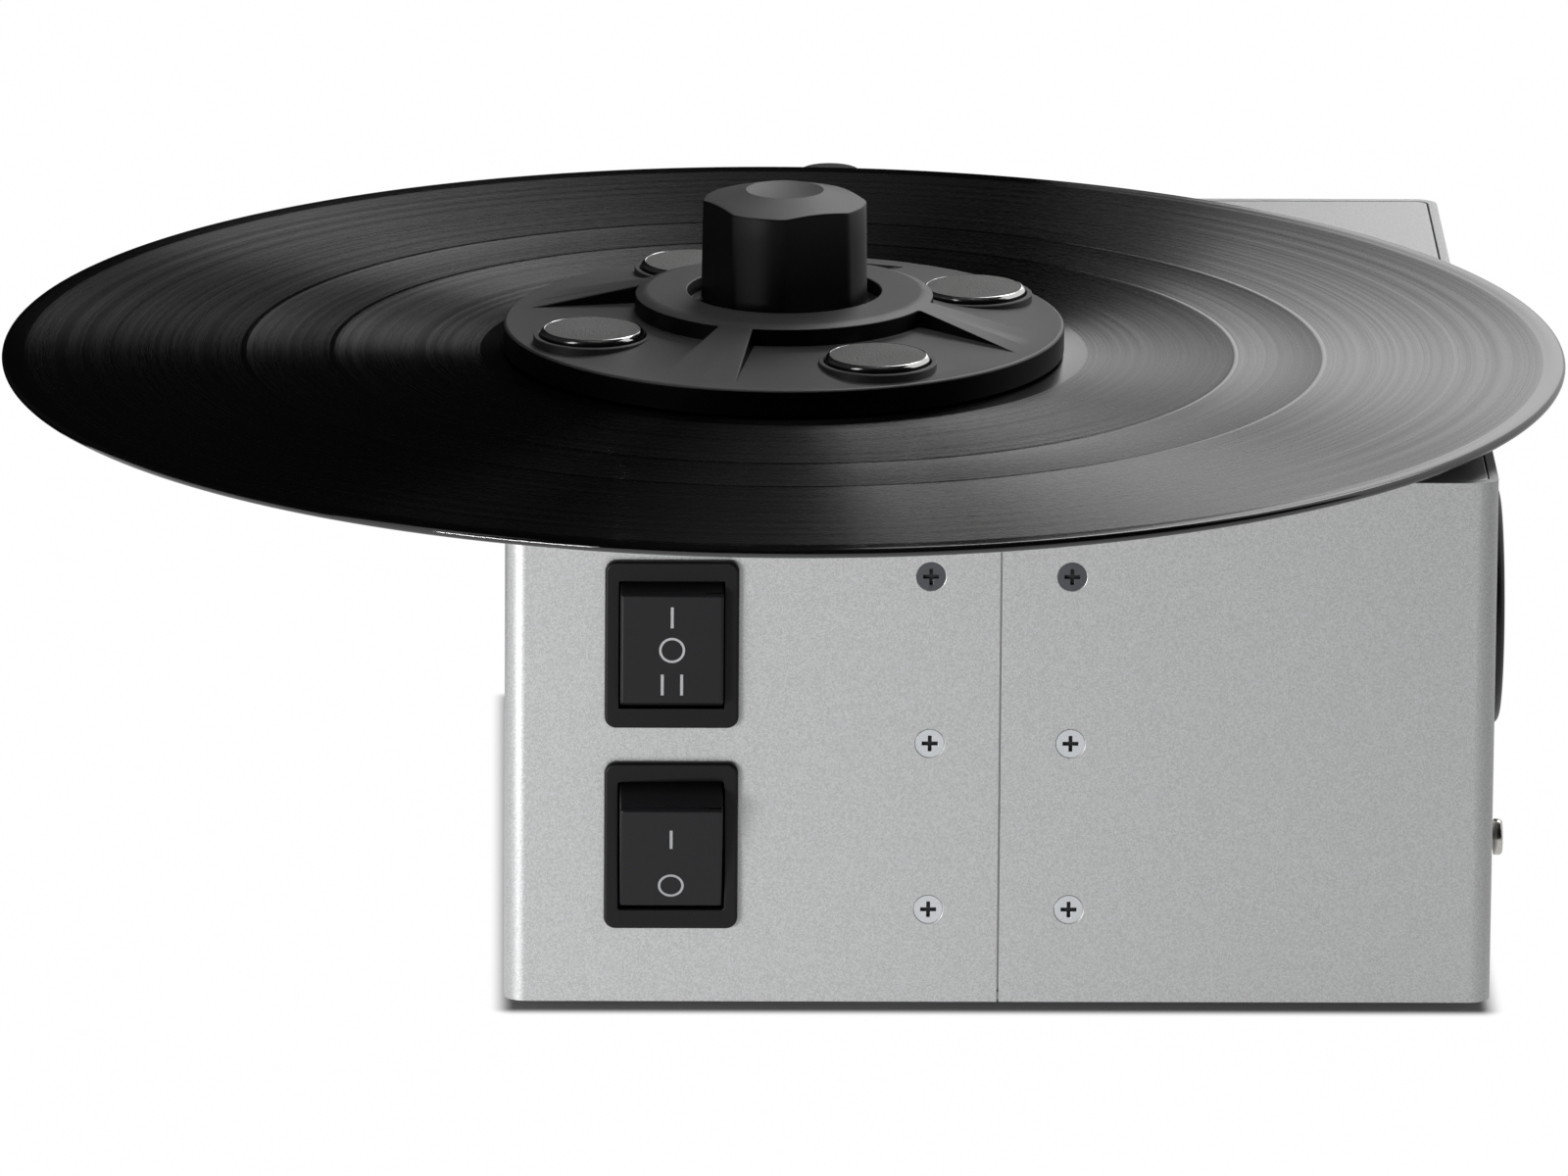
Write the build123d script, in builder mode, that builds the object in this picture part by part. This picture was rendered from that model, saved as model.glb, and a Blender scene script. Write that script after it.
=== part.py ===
from build123d import *
import math
import os

# Record cleaning machine: a flat square case with a vacuum unit inside, a small driven platter
# on top, a 12-inch record on it and a screw-down record clamp. All sizes are in millimetres.
# Frame: +Z up, z = 0 is the surface it stands on, the switches face -Y, and the origin is the
# centre of the whole outline seen from above, so the spindle stands at x = 0, y = spindle_y.

# ---- case ----
case_width = 187.2
case_height = 102.0
wall = 1.8
case_corner = 4.0
seam_gap = 0.3
plate_gap = 0.2
top_plate_thick = 2.0
base_thick = 1.5
foot_height = 2.0
foot_radius = 9.0
foot_inset = 20.0
spindle_to_front = 80.5
spindle_to_seam = 40.0
record_overhang = 5.1

# ---- fasteners ----
head_radius = 2.75
head_height = 1.5
shank_radius = 1.5
screw_length = 8.0
thread_clearance = 0.08
recess_length = 3.0
recess_width = 0.7
recess_depth = 0.7
head_clearance = 0.1
screw_to_seam = 13.3
first_screw_drop = 18.5
screw_pitch = 32.6
screw_rows = 3

# ---- seam brackets and corner posts ----
bracket_width = 44.0
bracket_thick = 2.5
bracket_end_gap = 0.5
post_radius = 4.0
post_inset = 5.5
post_bore_depth = 10.0

# ---- rocker switches ----
bezel_width = 25.3
bezel_height = 32.6
bezel_thick = 1.6
bezel_corner = 2.2
switch_width = 22.4
switch_height = 30.0
switch_depth = 20.0
switch_fit = 0.15
rocker_width = 19.4
rocker_radius = 12.1
rocker_face = 6.2
rocker_back = 5.0
rocker_gap = 0.3
pivot_inset = 1.5
trunnion_radius = 1.2
trunnion_length = 0.9
trunnion_clearance = 0.08
rocker_edge = 0.6
well_edge = 0.6
throw_angle = 16.0
switch_to_seam = 62.1
motor_switch_drop = 31.6
vacuum_switch_drop = 70.95
terminal_width = 6.3
terminal_thick = 0.8
terminal_length = 8.0
terminal_pitch = 9.0

# ---- record, platter and spindle ----
record_radius = 150.5
record_hole_radius = 3.65
record_label_radius = 50.0
record_label_thick = 1.9
record_groove_thick = 1.5
record_land_width = 3.5
record_label_step = 0.6
record_bead_thick = 1.8
record_bead_width = 2.2
platter_radius = 52.0
platter_thick = 2.2
platter_gap = 0.6
platter_hub_radius = 9.0
platter_hole_radius = 12.0
axial_gap = 0.3
mat_radius = 50.0
mat_thick = 0.6
spindle_radius = 4.0
pin_radius = 3.58
pin_height = 23.4
pin_chamfer = 0.8
platter_chamfer = 0.4
fit_gap = 0.02
running_gap = 0.05

# ---- spindle bearing ----
bearing_flange_radius = 20.0
bearing_flange_thick = 3.0
bearing_barrel_radius = 10.0
bearing_length = 20.0
bush_radius = 6.5

# ---- gear drive ----
gear_module = 1.0
gear_teeth = 60
pinion_teeth = 15
gear_width = 5.0
gear_backlash = 0.25
pressure_angle = 20.0
tooth_root = 1.25
tooth_tip = 0.95
gear_drop = 30.0
gear_hub_radius = 9.0
mesh_gap = 0.15
motor_angle = -60.0
motor_shaft_radius = 2.5
gearbox_radius = 18.5
gearbox_height = 9.0
motor_can_radius = 16.5
motor_can_height = 40.0
motor_can_chamfer = 1.0
motor_boss_clearance = 2.0
motor_plate_thick = 2.0
motor_plate_drop = 6.0
motor_plate_width = 62.0
motor_plate_depth = 46.0
motor_plate_corner = 5.0
motor_plate_shift = 7.0
pillar_radius = 3.5
pillar_inset = 5.5

# ---- record clamp ----
clamp_radius = 54.0
clamp_rim_height = 5.2
clamp_rim_chamfer = 0.4
clamp_lift_gap = 0.3
clamp_hub_height = 11.5
clamp_hub_radius = 26.1
clamp_shoulder_radius = 28.7
clamp_shoulder_height = 10.7
pocket_outer_radius = 50.0
pocket_floor_height = 7.2
spoke_inner_width = 6.0
spoke_outer_width = 15.0
spoke_angle = 70.0
clamp_recess_radius = 18.7
clamp_recess_floor = 8.6
clamp_bore_radius = 3.75
weight_radius = 10.0
weight_height = 5.2
weight_circle_radius = 40.8
weight_chamfer = 0.6
weight_gap = 0.25
weight_floor = 2.8
clamp_spokes = 4
seal_radius = 48.5
seal_width = 2.5
seal_depth = 1.0
washer_radius = 17.8
washer_bore_radius = 7.0
washer_thick = 0.8

# ---- clamp knob ----
knob_radius = 16.0
knob_top_radius = 15.7
knob_height = 19.6
knob_crown = 2.2
knob_dish_radius = 7.45
knob_dish_depth = 1.0
knob_flat_radius = 14.3
knob_gap = 0.1
knob_bore_depth = 16.0
insert_radius = 6.0
insert_length = 14.0

# ---- vacuum arm socket behind the case ----
rim_to_cap_gap = 0.5
socket_radius = 8.0
socket_bore_radius = 5.0
socket_height = 34.0
socket_top_drop = 2.0
socket_wall = 2.5
socket_flange_width = 22.0
socket_web_width = 12.0
socket_flange_thick = 3.0
socket_x = 11.8
spigot_radius = 4.6
spigot_bore_radius = 3.2
spigot_drop = 15.0
cap_radius = 6.2
cap_head_height = 4.95
cap_dome = 0.9
cap_plug_radius = 4.93
cap_plug_length = 9.0

# ---- used-fluid tank ----
tank_side_gap = 0.5
tank_width = 76.0
tank_to_spindle = 40.0
tank_back_gap = 8.0
lid_to_hose_gap = 1.35
tank_wall = 2.5
tank_corner = 6.0
tank_floor_gap = 0.3
lid_thick = 3.0
tank_seal_thick = 1.2
lid_tower_radius = 7.0
lid_tower_top = 17.0
lid_spigot_length = 8.0
hose_wall = 2.0
hose_fit = 0.05
hose_fit_gap = 0.5

# ---- vacuum unit ----
blower_radius = 43.0
blower_wall = 1.8
blower_length = 24.0
blower_manifold = 9.0
blower_motor_radius = 32.0
blower_motor_length = 36.0
blower_to_wall = 10.0
impeller_radius = 38.0
impeller_plate = 1.5
impeller_width = 10.0
impeller_blades = 12
impeller_blade_thick = 1.2
blade_length_share = 0.7
blade_middle_share = 0.62
blade_lean = 20.0
impeller_shaft_radius = 4.0
impeller_clearance = 2.0
blower_eye_radius = 14.0
inlet_offset_y = 18.0
inlet_offset_z = 10.0
inlet_radius = 8.0
inlet_bore_radius = 6.2
inlet_length = 8.0
cradle_length = 16.0
cradle_width = 44.0
cradle_gap = 0.1
seal_ring_outer = 28.0
seal_ring_inner = 21.0

# ---- exhaust cover on the right wall ----
exhaust_radius = 23.7
exhaust_proud = 7.0
exhaust_edge = 2.0
exhaust_hole_radius = 20.0
exhaust_spigot_length = 4.0
exhaust_spigot_wall = 1.6
exhaust_skin = 2.0
exhaust_slots = 18
exhaust_slot_width = 2.2
exhaust_slot_inner = 7.5
exhaust_slot_outer = 17.0
exhaust_from_front = 112.0
exhaust_drop = 53.6

# ---- drain ----
drain_from_front = 56.0
drain_drop = 85.1
drain_tube_radius = 2.6
drain_bore_radius = 1.6
drain_ring_radius = 3.5
drain_ring_thick = 1.7
drain_ring_pitch = 3.4
drain_chamfer = 0.4
drain_inside = 16.0
drain_nut_radius = 5.0
drain_nut_thick = 3.0
drain_hose_radius = 4.2
drain_outlet_inset = 6.8
drain_outlet_z = 12.0
drain_outlet_length = 9.0
drain_hose_end_gap = 1.0
hose_first_reach = 0.37
hose_second_reach = 0.72
hose_second_run = 0.2
hose_third_run = 0.35

# ---- mains inlet ----
inlet_x = 100.0
inlet_z = 34.0
inlet_bezel_width = 31.0
inlet_bezel_height = 34.0
inlet_bezel_thick = 2.5
inlet_bezel_corner = 2.0
inlet_body_width = 27.0
inlet_body_height = 30.0
inlet_body_depth = 27.0
socket_width = 24.6
socket_depth = 17.0
socket_tall = 16.8
socket_up = 5.0
blade_width = 2.0
blade_tall = 4.0
blade_length = 14.0
blade_root = 6.0
blade_pitch = 7.0
live_blade_up = -1.0
earth_blade_up = 3.0
drawer_width = 22.0
drawer_height = 7.0
drawer_depth = 24.0
drawer_gap = 0.15
drawer_down = 9.6
drawer_lip = 1.0
fuse_radius = 2.6
fuse_length = 20.0

# ---- power board ----
board_width = 66.0
board_depth = 34.0
board_thick = 1.6
board_lift = 6.0
board_to_front = 8.0
board_x = 86.0
standoff_radius = 3.0
standoff_inset = 4.0
capacitor_radius = 6.0
capacitor_height = 20.0
relay_size = 15.0
relay_width = 20.0
block_width = 24.0
block_depth = 9.0
block_height = 11.0

# ---- places worked out from the sizes above ----
spindle_to_back = record_radius - record_overhang
case_depth = spindle_to_front + spindle_to_back
socket_offset = record_radius + rim_to_cap_gap + cap_radius - spindle_to_back
record_groove_outer = record_radius - record_land_width
rear_reach = spindle_to_back + socket_offset + socket_radius
spindle_y = (record_radius - rear_reach) / 2
seam_x = spindle_to_seam
case_left = seam_x - case_width / 2
case_right = seam_x + case_width / 2
case_front = spindle_y - spindle_to_front
case_back = spindle_y + spindle_to_back
case_y = (case_front + case_back) / 2
case_bottom = foot_height
case_top = case_bottom + case_height
base_top = case_bottom + base_thick
ceiling = case_top - top_plate_thick
post_x = case_width / 2 - wall - post_inset
post_y = case_depth / 2 - wall - post_inset
screw_rows_z = [case_top - first_screw_drop - row * screw_pitch for row in range(screw_rows)]
switch_x = seam_x - switch_to_seam
motor_switch_z = case_top - motor_switch_drop
vacuum_switch_z = case_top - vacuum_switch_drop
platter_bottom = case_top + platter_gap
platter_top = platter_bottom + platter_thick
mat_top = platter_top + mat_thick
record_top = mat_top + record_label_thick
clamp_bottom = record_top + clamp_lift_gap
knob_bottom = clamp_bottom + clamp_recess_floor + washer_thick + knob_gap
bearing_bottom = ceiling - bearing_length
gear_bottom = ceiling - gear_drop
gear_distance = gear_module * (gear_teeth + pinion_teeth) / 2 + mesh_gap
motor_x = gear_distance * math.cos(math.radians(motor_angle))
motor_y = spindle_y + gear_distance * math.sin(math.radians(motor_angle))
motor_plate_top = gear_bottom - motor_plate_drop
motor_plate_bottom = motor_plate_top - motor_plate_thick
motor_plate_x = motor_x + motor_plate_shift
socket_y = case_back + socket_offset
socket_top = case_top - socket_top_drop
spigot_z = socket_top - spigot_drop
exhaust_y = case_front + exhaust_from_front
exhaust_z = case_top - exhaust_drop
blower_end = case_right - wall - blower_to_wall
blower_motor_start = blower_end - blower_motor_length
blower_start = blower_motor_start - blower_length
manifold_start = blower_start - blower_manifold
tank_left = case_left + wall + post_inset + post_radius + tank_side_gap
tank_right = tank_left + tank_width
tank_front = spindle_y + tank_to_spindle
tank_back = case_back - wall - tank_back_gap
tank_x = (tank_left + tank_right) / 2
tank_y = (tank_front + tank_back) / 2
tank_bottom = base_top + tank_floor_gap
tank_top = (spigot_z - spigot_radius - hose_fit - hose_wall - lid_to_hose_gap
            - lid_thick - tank_seal_thick)
tank_height = tank_top - tank_bottom
drain_outlet_x = tank_right - drain_outlet_inset
lid_bottom = tank_top + tank_seal_thick
lid_top = lid_bottom + lid_thick
drain_y = case_front + drain_from_front
drain_z = case_top - drain_drop
board_y = case_front + wall + board_to_front + board_depth / 2
board_bottom = base_top + board_lift
parts_made = []


def plane_at(x, y, z, normal, across):
    """A sketch plane whose z looks along normal and whose x runs along across."""
    return Plane(origin=(x, y, z), x_dir=across, z_dir=normal)


def save(build, name):
    """Label a finished sub-part and write its STEP file."""
    build.part.label = name
    export_step(build.part, os.path.join("parts", name + ".step"))
    parts_made.append(name)


def add_screws(face, spots):
    """Countersunk screws with a cross recess, heads flush with the face, at its spots."""
    with Locations(face):
        with Locations(*spots):
            Cone(shank_radius, head_radius, head_height, align=(Align.CENTER, Align.CENTER, Align.MAX))
            Cylinder(shank_radius, screw_length, align=(Align.CENTER, Align.CENTER, Align.MAX))
            recess_align = (Align.CENTER, Align.CENTER, Align.MAX)
            Box(recess_length, recess_width, recess_depth, align=recess_align, mode=Mode.SUBTRACT)
            Box(recess_width, recess_length, recess_depth, align=recess_align, mode=Mode.SUBTRACT)


def cut_screw_seats(face, spots):
    """Countersunk through holes that the screws of add_screws sit in."""
    with Locations(face):
        with Locations(*spots):
            Cone(shank_radius + head_clearance, head_radius + head_clearance, head_height,
                 align=(Align.CENTER, Align.CENTER, Align.MAX), mode=Mode.SUBTRACT)
            Cylinder(shank_radius + head_clearance, screw_length,
                     align=(Align.CENTER, Align.CENTER, Align.MAX), mode=Mode.SUBTRACT)


def cut_thread_holes(face, spots, depth):
    """Plain holes that stand for the threads, a little wider than the screw shanks."""
    with Locations(face):
        with Locations(*spots):
            Cylinder(shank_radius + thread_clearance, depth,
                     align=(Align.CENTER, Align.CENTER, Align.MAX), mode=Mode.SUBTRACT)


def involute_point(base_radius, radius, start_angle, side):
    """A point of a tooth flank: the involute of the base circle at a given radius."""
    roll = math.sqrt(max((radius / base_radius) ** 2 - 1, 0))
    angle = start_angle + side * (roll - math.atan(roll))
    return (radius * math.cos(angle), radius * math.sin(angle))


def gear_outline(teeth, turn):
    """The corner points of a spur gear with involute flanks, turned by some degrees."""
    pressure = math.radians(pressure_angle)
    pitch_radius = gear_module * teeth / 2
    base_radius = pitch_radius * math.cos(pressure)
    root_radius = pitch_radius - tooth_root * gear_module
    tip_radius = pitch_radius + tooth_tip * gear_module
    flank_start = max(base_radius, root_radius)
    involute = math.tan(pressure) - pressure
    half_tooth = math.pi / (2 * teeth) - gear_backlash / (2 * pitch_radius) + involute
    steps = 4
    points = []
    for tooth in range(teeth):
        middle = math.radians(turn) + tooth * 2 * math.pi / teeth
        radii = [flank_start + (tip_radius - flank_start) * step / steps for step in range(steps + 1)]
        rising = [involute_point(base_radius, r, middle - half_tooth, 1) for r in radii]
        falling = [involute_point(base_radius, r, middle + half_tooth, -1) for r in reversed(radii)]
        root_left = middle - half_tooth
        root_right = middle + half_tooth
        points.append((root_radius * math.cos(root_left), root_radius * math.sin(root_left)))
        points += rising + falling
        points.append((root_radius * math.cos(root_right), root_radius * math.sin(root_right)))
    return points


def bend_radii(points):
    """The largest arc for each corner of a hose's route."""
    radii = []
    for before, corner, after in zip(points, points[1:], points[2:]):
        run_in, run_out = Vector(*corner) - Vector(*before), Vector(*after) - Vector(*corner)
        half_turn = math.radians(run_in.get_angle(run_out)) / 2
        radii.append(0.45 * min(run_in.length, run_out.length) / math.tan(half_turn))
    return radii


os.makedirs("parts", exist_ok=True)
front_face = plane_at(seam_x, case_front, 0, (0, -1, 0), (1, 0, 0))
rear_face = plane_at(seam_x, case_back, 0, (0, 1, 0), (1, 0, 0))
seam_spots = [(side * screw_to_seam, z) for side in (-1, 1) for z in screw_rows_z]
rear_spots = [(side * screw_to_seam, -z) for side in (-1, 1) for z in screw_rows_z]
bottom_face = plane_at(seam_x, case_y, case_bottom, (0, 0, -1), (1, 0, 0))
corner_spots = [(i * post_x, j * post_y) for i in (-1, 1) for j in (-1, 1)]


# ---------------------------------------------------------------- case
def housing_half(side):
    """One of the two wrapped sheet shells: side -1 is the left, 1 the right."""
    with BuildPart() as half:
        with BuildSketch(Plane.XY.offset(case_bottom)):
            with Locations((seam_x, case_y)):
                RectangleRounded(case_width, case_depth, case_corner)
                RectangleRounded(case_width - 2 * wall, case_depth - 2 * wall, case_corner - wall,
                                 mode=Mode.SUBTRACT)
            with Locations((seam_x + side * (seam_gap / 2 + case_width / 2), case_y)):
                Rectangle(case_width, case_depth * 2, mode=Mode.INTERSECT)
        extrude(amount=case_height)
        cut_screw_seats(front_face, seam_spots)
        cut_screw_seats(rear_face, rear_spots)
    return half


left_half = housing_half(-1)
with BuildPart() as left_housing:
    add(left_half.part)
    with Locations(front_face):
        with Locations((switch_x - seam_x, motor_switch_z), (switch_x - seam_x, vacuum_switch_z)):
            Box(switch_width + 2 * switch_fit, switch_height + 2 * switch_fit, 4 * wall, mode=Mode.SUBTRACT)
    with Locations(rear_face):
        with Locations((socket_x - seam_x, -spigot_z)):
            Cylinder(spigot_radius + switch_fit, 4 * wall, mode=Mode.SUBTRACT)
save(left_housing, "left_housing")

right_half = housing_half(1)
right_face = plane_at(case_right, 0, 0, (1, 0, 0), (0, 1, 0))
with BuildPart() as right_housing:
    add(right_half.part)
    with Locations(right_face):
        with Locations((exhaust_y, exhaust_z)):
            Cylinder(exhaust_hole_radius, 4 * wall, mode=Mode.SUBTRACT)
        with Locations((drain_y, drain_z)):
            Cylinder(drain_tube_radius + switch_fit, 4 * wall, mode=Mode.SUBTRACT)
    with Locations(rear_face):
        with Locations((inlet_x - seam_x, -inlet_z)):
            Box(inlet_body_width + 2 * switch_fit, inlet_body_height + 2 * switch_fit, 4 * wall,
                mode=Mode.SUBTRACT)
save(right_housing, "right_housing")

with BuildPart() as top_plate:
    with BuildSketch(Plane.XY.offset(ceiling)):
        with Locations((seam_x, case_y)):
            RectangleRounded(case_width - 2 * (wall + plate_gap), case_depth - 2 * (wall + plate_gap),
                             case_corner - wall)
        with Locations((0, spindle_y)):
            Circle(platter_hole_radius, mode=Mode.SUBTRACT)
    extrude(amount=top_plate_thick)
save(top_plate, "top_plate")

with BuildPart() as base_plate:
    with BuildSketch(Plane.XY.offset(case_bottom)):
        with Locations((seam_x, case_y)):
            RectangleRounded(case_width - 2 * (wall + plate_gap), case_depth - 2 * (wall + plate_gap),
                             case_corner - wall)
    extrude(amount=base_thick)
    cut_screw_seats(bottom_face, corner_spots)
save(base_plate, "base_plate")


def seam_bracket(face_y, side, spots, face):
    """The inner strip that joins the two shells at a seam: side 1 lies behind the front wall."""
    height = ceiling - base_top - 2 * bracket_end_gap
    with BuildPart() as bracket:
        with Locations((seam_x, face_y + side * (wall + bracket_thick / 2), (ceiling + base_top) / 2)):
            Box(bracket_width, bracket_thick, height)
        cut_thread_holes(face, spots, screw_length)
    return bracket


front_bracket = seam_bracket(case_front, 1, seam_spots, front_face)
save(front_bracket, "front_seam_bracket")
rear_bracket = seam_bracket(case_back, -1, rear_spots, rear_face)
save(rear_bracket, "rear_seam_bracket")

with BuildPart() as front_screws:
    add_screws(front_face, seam_spots)
save(front_screws, "front_seam_screws")
with BuildPart() as rear_screws:
    add_screws(rear_face, rear_spots)
save(rear_screws, "rear_seam_screws")
with BuildPart() as base_screws:
    add_screws(bottom_face, corner_spots)
save(base_screws, "base_screws")

with BuildPart() as corner_posts:
    with Locations((seam_x, case_y, base_top)):
        with GridLocations(2 * post_x, 2 * post_y, 2, 2):
            Cylinder(post_radius, ceiling - base_top, align=(Align.CENTER, Align.CENTER, Align.MIN))
            Cylinder(shank_radius + thread_clearance, post_bore_depth,
                     align=(Align.CENTER, Align.CENTER, Align.MIN), mode=Mode.SUBTRACT)
save(corner_posts, "corner_posts")

with BuildPart() as feet:
    with Locations((seam_x, case_y, 0)):
        with GridLocations(case_width - 2 * foot_inset, case_depth - 2 * foot_inset, 2, 2):
            Cylinder(foot_radius, foot_height, align=(Align.CENTER, Align.CENTER, Align.MIN))
    chamfer(feet.edges().group_by(Axis.Z)[0], foot_height / 4)
save(feet, "feet")


# ---------------------------------------------------------------- switches
def switch_body(z):
    """The snap-in rocker switch housing: a bezel, a box behind the wall and a rounded well."""
    face = plane_at(switch_x, case_front, z, (0, -1, 0), (1, 0, 0))
    side = plane_at(switch_x, case_front + pivot_inset, z, (1, 0, 0), (0, 1, 0))
    with BuildPart() as body:
        with BuildSketch(face):
            RectangleRounded(bezel_width, bezel_height, bezel_corner)
        extrude(amount=bezel_thick)
        with BuildSketch(face):
            Rectangle(switch_width, switch_height)
        extrude(amount=-switch_depth)
        fillet(body.faces().sort_by(Axis.Y)[0].outer_wire().edges(), well_edge)
        with BuildSketch(side):
            Circle(rocker_radius + rocker_gap)
            with Locations((-rocker_radius, 0)):
                Rectangle(2 * rocker_radius, 2 * (rocker_radius + rocker_gap))
        extrude(amount=rocker_width / 2 + rocker_gap, both=True, mode=Mode.SUBTRACT)
        with BuildSketch(side):
            Circle(trunnion_radius + trunnion_clearance)
        extrude(amount=rocker_width / 2 + trunnion_length + trunnion_clearance, both=True,
                mode=Mode.SUBTRACT)
    return body


def rocker(z, tilt):
    """A rocker with a flat face and round ends about its trunnions, tilted top outwards."""
    side = plane_at(switch_x, case_front + pivot_inset, z, (1, 0, 0), (0, 1, 0))
    with BuildPart() as key:
        with BuildSketch(side):
            Circle(rocker_radius)
            with Locations((-rocker_face - rocker_radius, 0), (rocker_back + rocker_radius, 0)):
                Rectangle(2 * rocker_radius, 2 * rocker_radius, mode=Mode.SUBTRACT)
        extrude(amount=rocker_width / 2, both=True)
        fillet(key.faces().sort_by(Axis.Y)[0].edges(), rocker_edge)
        with BuildSketch(side):
            Circle(trunnion_radius)
        extrude(amount=rocker_width / 2 + trunnion_length, both=True)
    pivot = Axis((switch_x, case_front + pivot_inset, z), (1, 0, 0))
    with BuildPart() as turned:
        add(key.part.rotate(pivot, tilt))
    return turned


motor_switch = switch_body(motor_switch_z)
save(motor_switch, "motor_switch_body")
motor_rocker = rocker(motor_switch_z, 0)
save(motor_rocker, "motor_rocker")
vacuum_switch = switch_body(vacuum_switch_z)
save(vacuum_switch, "vacuum_switch_body")
vacuum_rocker = rocker(vacuum_switch_z, throw_angle)
save(vacuum_rocker, "vacuum_rocker")

with BuildPart() as switch_terminals:
    for z in (motor_switch_z, vacuum_switch_z):
        with Locations((switch_x, case_front + switch_depth, z)):
            with GridLocations(terminal_pitch, 1, 2, 1):
                with Locations((0, 0, -terminal_pitch), (0, 0, 0), (0, 0, terminal_pitch)):
                    Box(terminal_width, terminal_length, terminal_thick,
                        align=(Align.CENTER, Align.MIN, Align.CENTER))
save(switch_terminals, "switch_terminals")

# ---------------------------------------------------------------- turntable
with BuildPart() as bearing_housing:
    with Locations((0, spindle_y, ceiling)):
        Cylinder(bearing_flange_radius, bearing_flange_thick, align=(Align.CENTER, Align.CENTER, Align.MAX))
        Cylinder(bearing_barrel_radius, bearing_length, align=(Align.CENTER, Align.CENTER, Align.MAX))
        Cylinder(bush_radius + fit_gap, bearing_length, align=(Align.CENTER, Align.CENTER, Align.MAX),
                 mode=Mode.SUBTRACT)
save(bearing_housing, "bearing_housing")

with BuildPart() as spindle_bush:
    with Locations((0, spindle_y, ceiling)):
        Cylinder(bush_radius, bearing_length, align=(Align.CENTER, Align.CENTER, Align.MAX))
        Cylinder(spindle_radius + running_gap, bearing_length,
                 align=(Align.CENTER, Align.CENTER, Align.MAX), mode=Mode.SUBTRACT)
save(spindle_bush, "spindle_bush")

with BuildPart() as spindle:
    with Locations((0, spindle_y, gear_bottom)):
        Cylinder(spindle_radius, platter_top - gear_bottom, align=(Align.CENTER, Align.CENTER, Align.MIN))
    with Locations((0, spindle_y, platter_top)):
        Cylinder(pin_radius, record_top + pin_height - platter_top,
                 align=(Align.CENTER, Align.CENTER, Align.MIN))
    chamfer(spindle.edges().group_by(Axis.Z)[-1], pin_chamfer)
save(spindle, "spindle")

with BuildPart() as platter:
    with Locations((0, spindle_y, platter_bottom)):
        Cylinder(platter_radius, platter_thick, align=(Align.CENTER, Align.CENTER, Align.MIN))
    with Locations((0, spindle_y, ceiling + axial_gap)):
        Cylinder(platter_hub_radius, platter_bottom - ceiling - axial_gap,
                 align=(Align.CENTER, Align.CENTER, Align.MIN))
        Cylinder(spindle_radius + fit_gap, case_height, mode=Mode.SUBTRACT)
    chamfer(platter.edges().filter_by(GeomType.CIRCLE).sort_by(SortBy.RADIUS)[-2:], platter_chamfer)
save(platter, "platter")

with BuildPart() as platter_mat:
    with Locations((0, spindle_y, platter_top)):
        Cylinder(mat_radius, mat_thick, align=(Align.CENTER, Align.CENTER, Align.MIN))
        Cylinder(record_hole_radius, mat_thick, align=(Align.CENTER, Align.CENTER, Align.MIN),
                 mode=Mode.SUBTRACT)
save(platter_mat, "platter_mat")

record_middle = mat_top + record_label_thick / 2
with BuildPart() as record:
    with BuildSketch(Plane(origin=(0, spindle_y, record_middle), x_dir=(1, 0, 0), z_dir=(0, -1, 0))):
        with BuildLine():
            upper = [(record_hole_radius, record_label_thick / 2),
                     (record_label_radius, record_label_thick / 2),
                     (record_label_radius + record_label_step, record_groove_thick / 2),
                     (record_groove_outer, record_groove_thick / 2),
                     (record_radius - record_bead_width, record_bead_thick / 2),
                     (record_radius - record_bead_thick / 2, record_bead_thick / 2)]
            Polyline(*upper)
            ThreePointArc(upper[-1], (record_radius, 0), (upper[-1][0], -upper[-1][1]))
            lower = [(x, -z) for x, z in reversed(upper)]
            Polyline(*lower)
            Line(lower[-1], upper[0])
        make_face()
    revolve(axis=Axis((0, spindle_y, 0), (0, 0, 1)))
save(record, "record")

# ---------------------------------------------------------------- gear drive
gear_plane = Plane(origin=(0, spindle_y, gear_bottom))
with BuildPart() as drive_gear:
    with BuildSketch(gear_plane):
        Polygon(*gear_outline(gear_teeth, 0), align=None)
    extrude(amount=gear_width)
    with Locations((0, spindle_y, gear_bottom)):
        Cylinder(gear_hub_radius, bearing_bottom - axial_gap - gear_bottom,
                 align=(Align.CENTER, Align.CENTER, Align.MIN))
        Cylinder(spindle_radius + fit_gap, case_height, mode=Mode.SUBTRACT)
save(drive_gear, "drive_gear")

# The pinion is turned so that one of its gaps faces the gear tooth on the line of centres.
teeth_turned = motor_angle / (360 / gear_teeth)
pinion_turn = motor_angle + 180 + 180 / pinion_teeth - (teeth_turned % 1) * 360 / pinion_teeth
with BuildPart() as motor_pinion:
    with BuildSketch(Plane(origin=(motor_x, motor_y, gear_bottom))):
        Polygon(*gear_outline(pinion_teeth, pinion_turn), align=None)
    extrude(amount=gear_width)
    with Locations((motor_x, motor_y, motor_plate_top)):
        Cylinder(motor_shaft_radius, gear_bottom + gear_width - motor_plate_top,
                 align=(Align.CENTER, Align.CENTER, Align.MIN))
save(motor_pinion, "motor_pinion")

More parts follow.
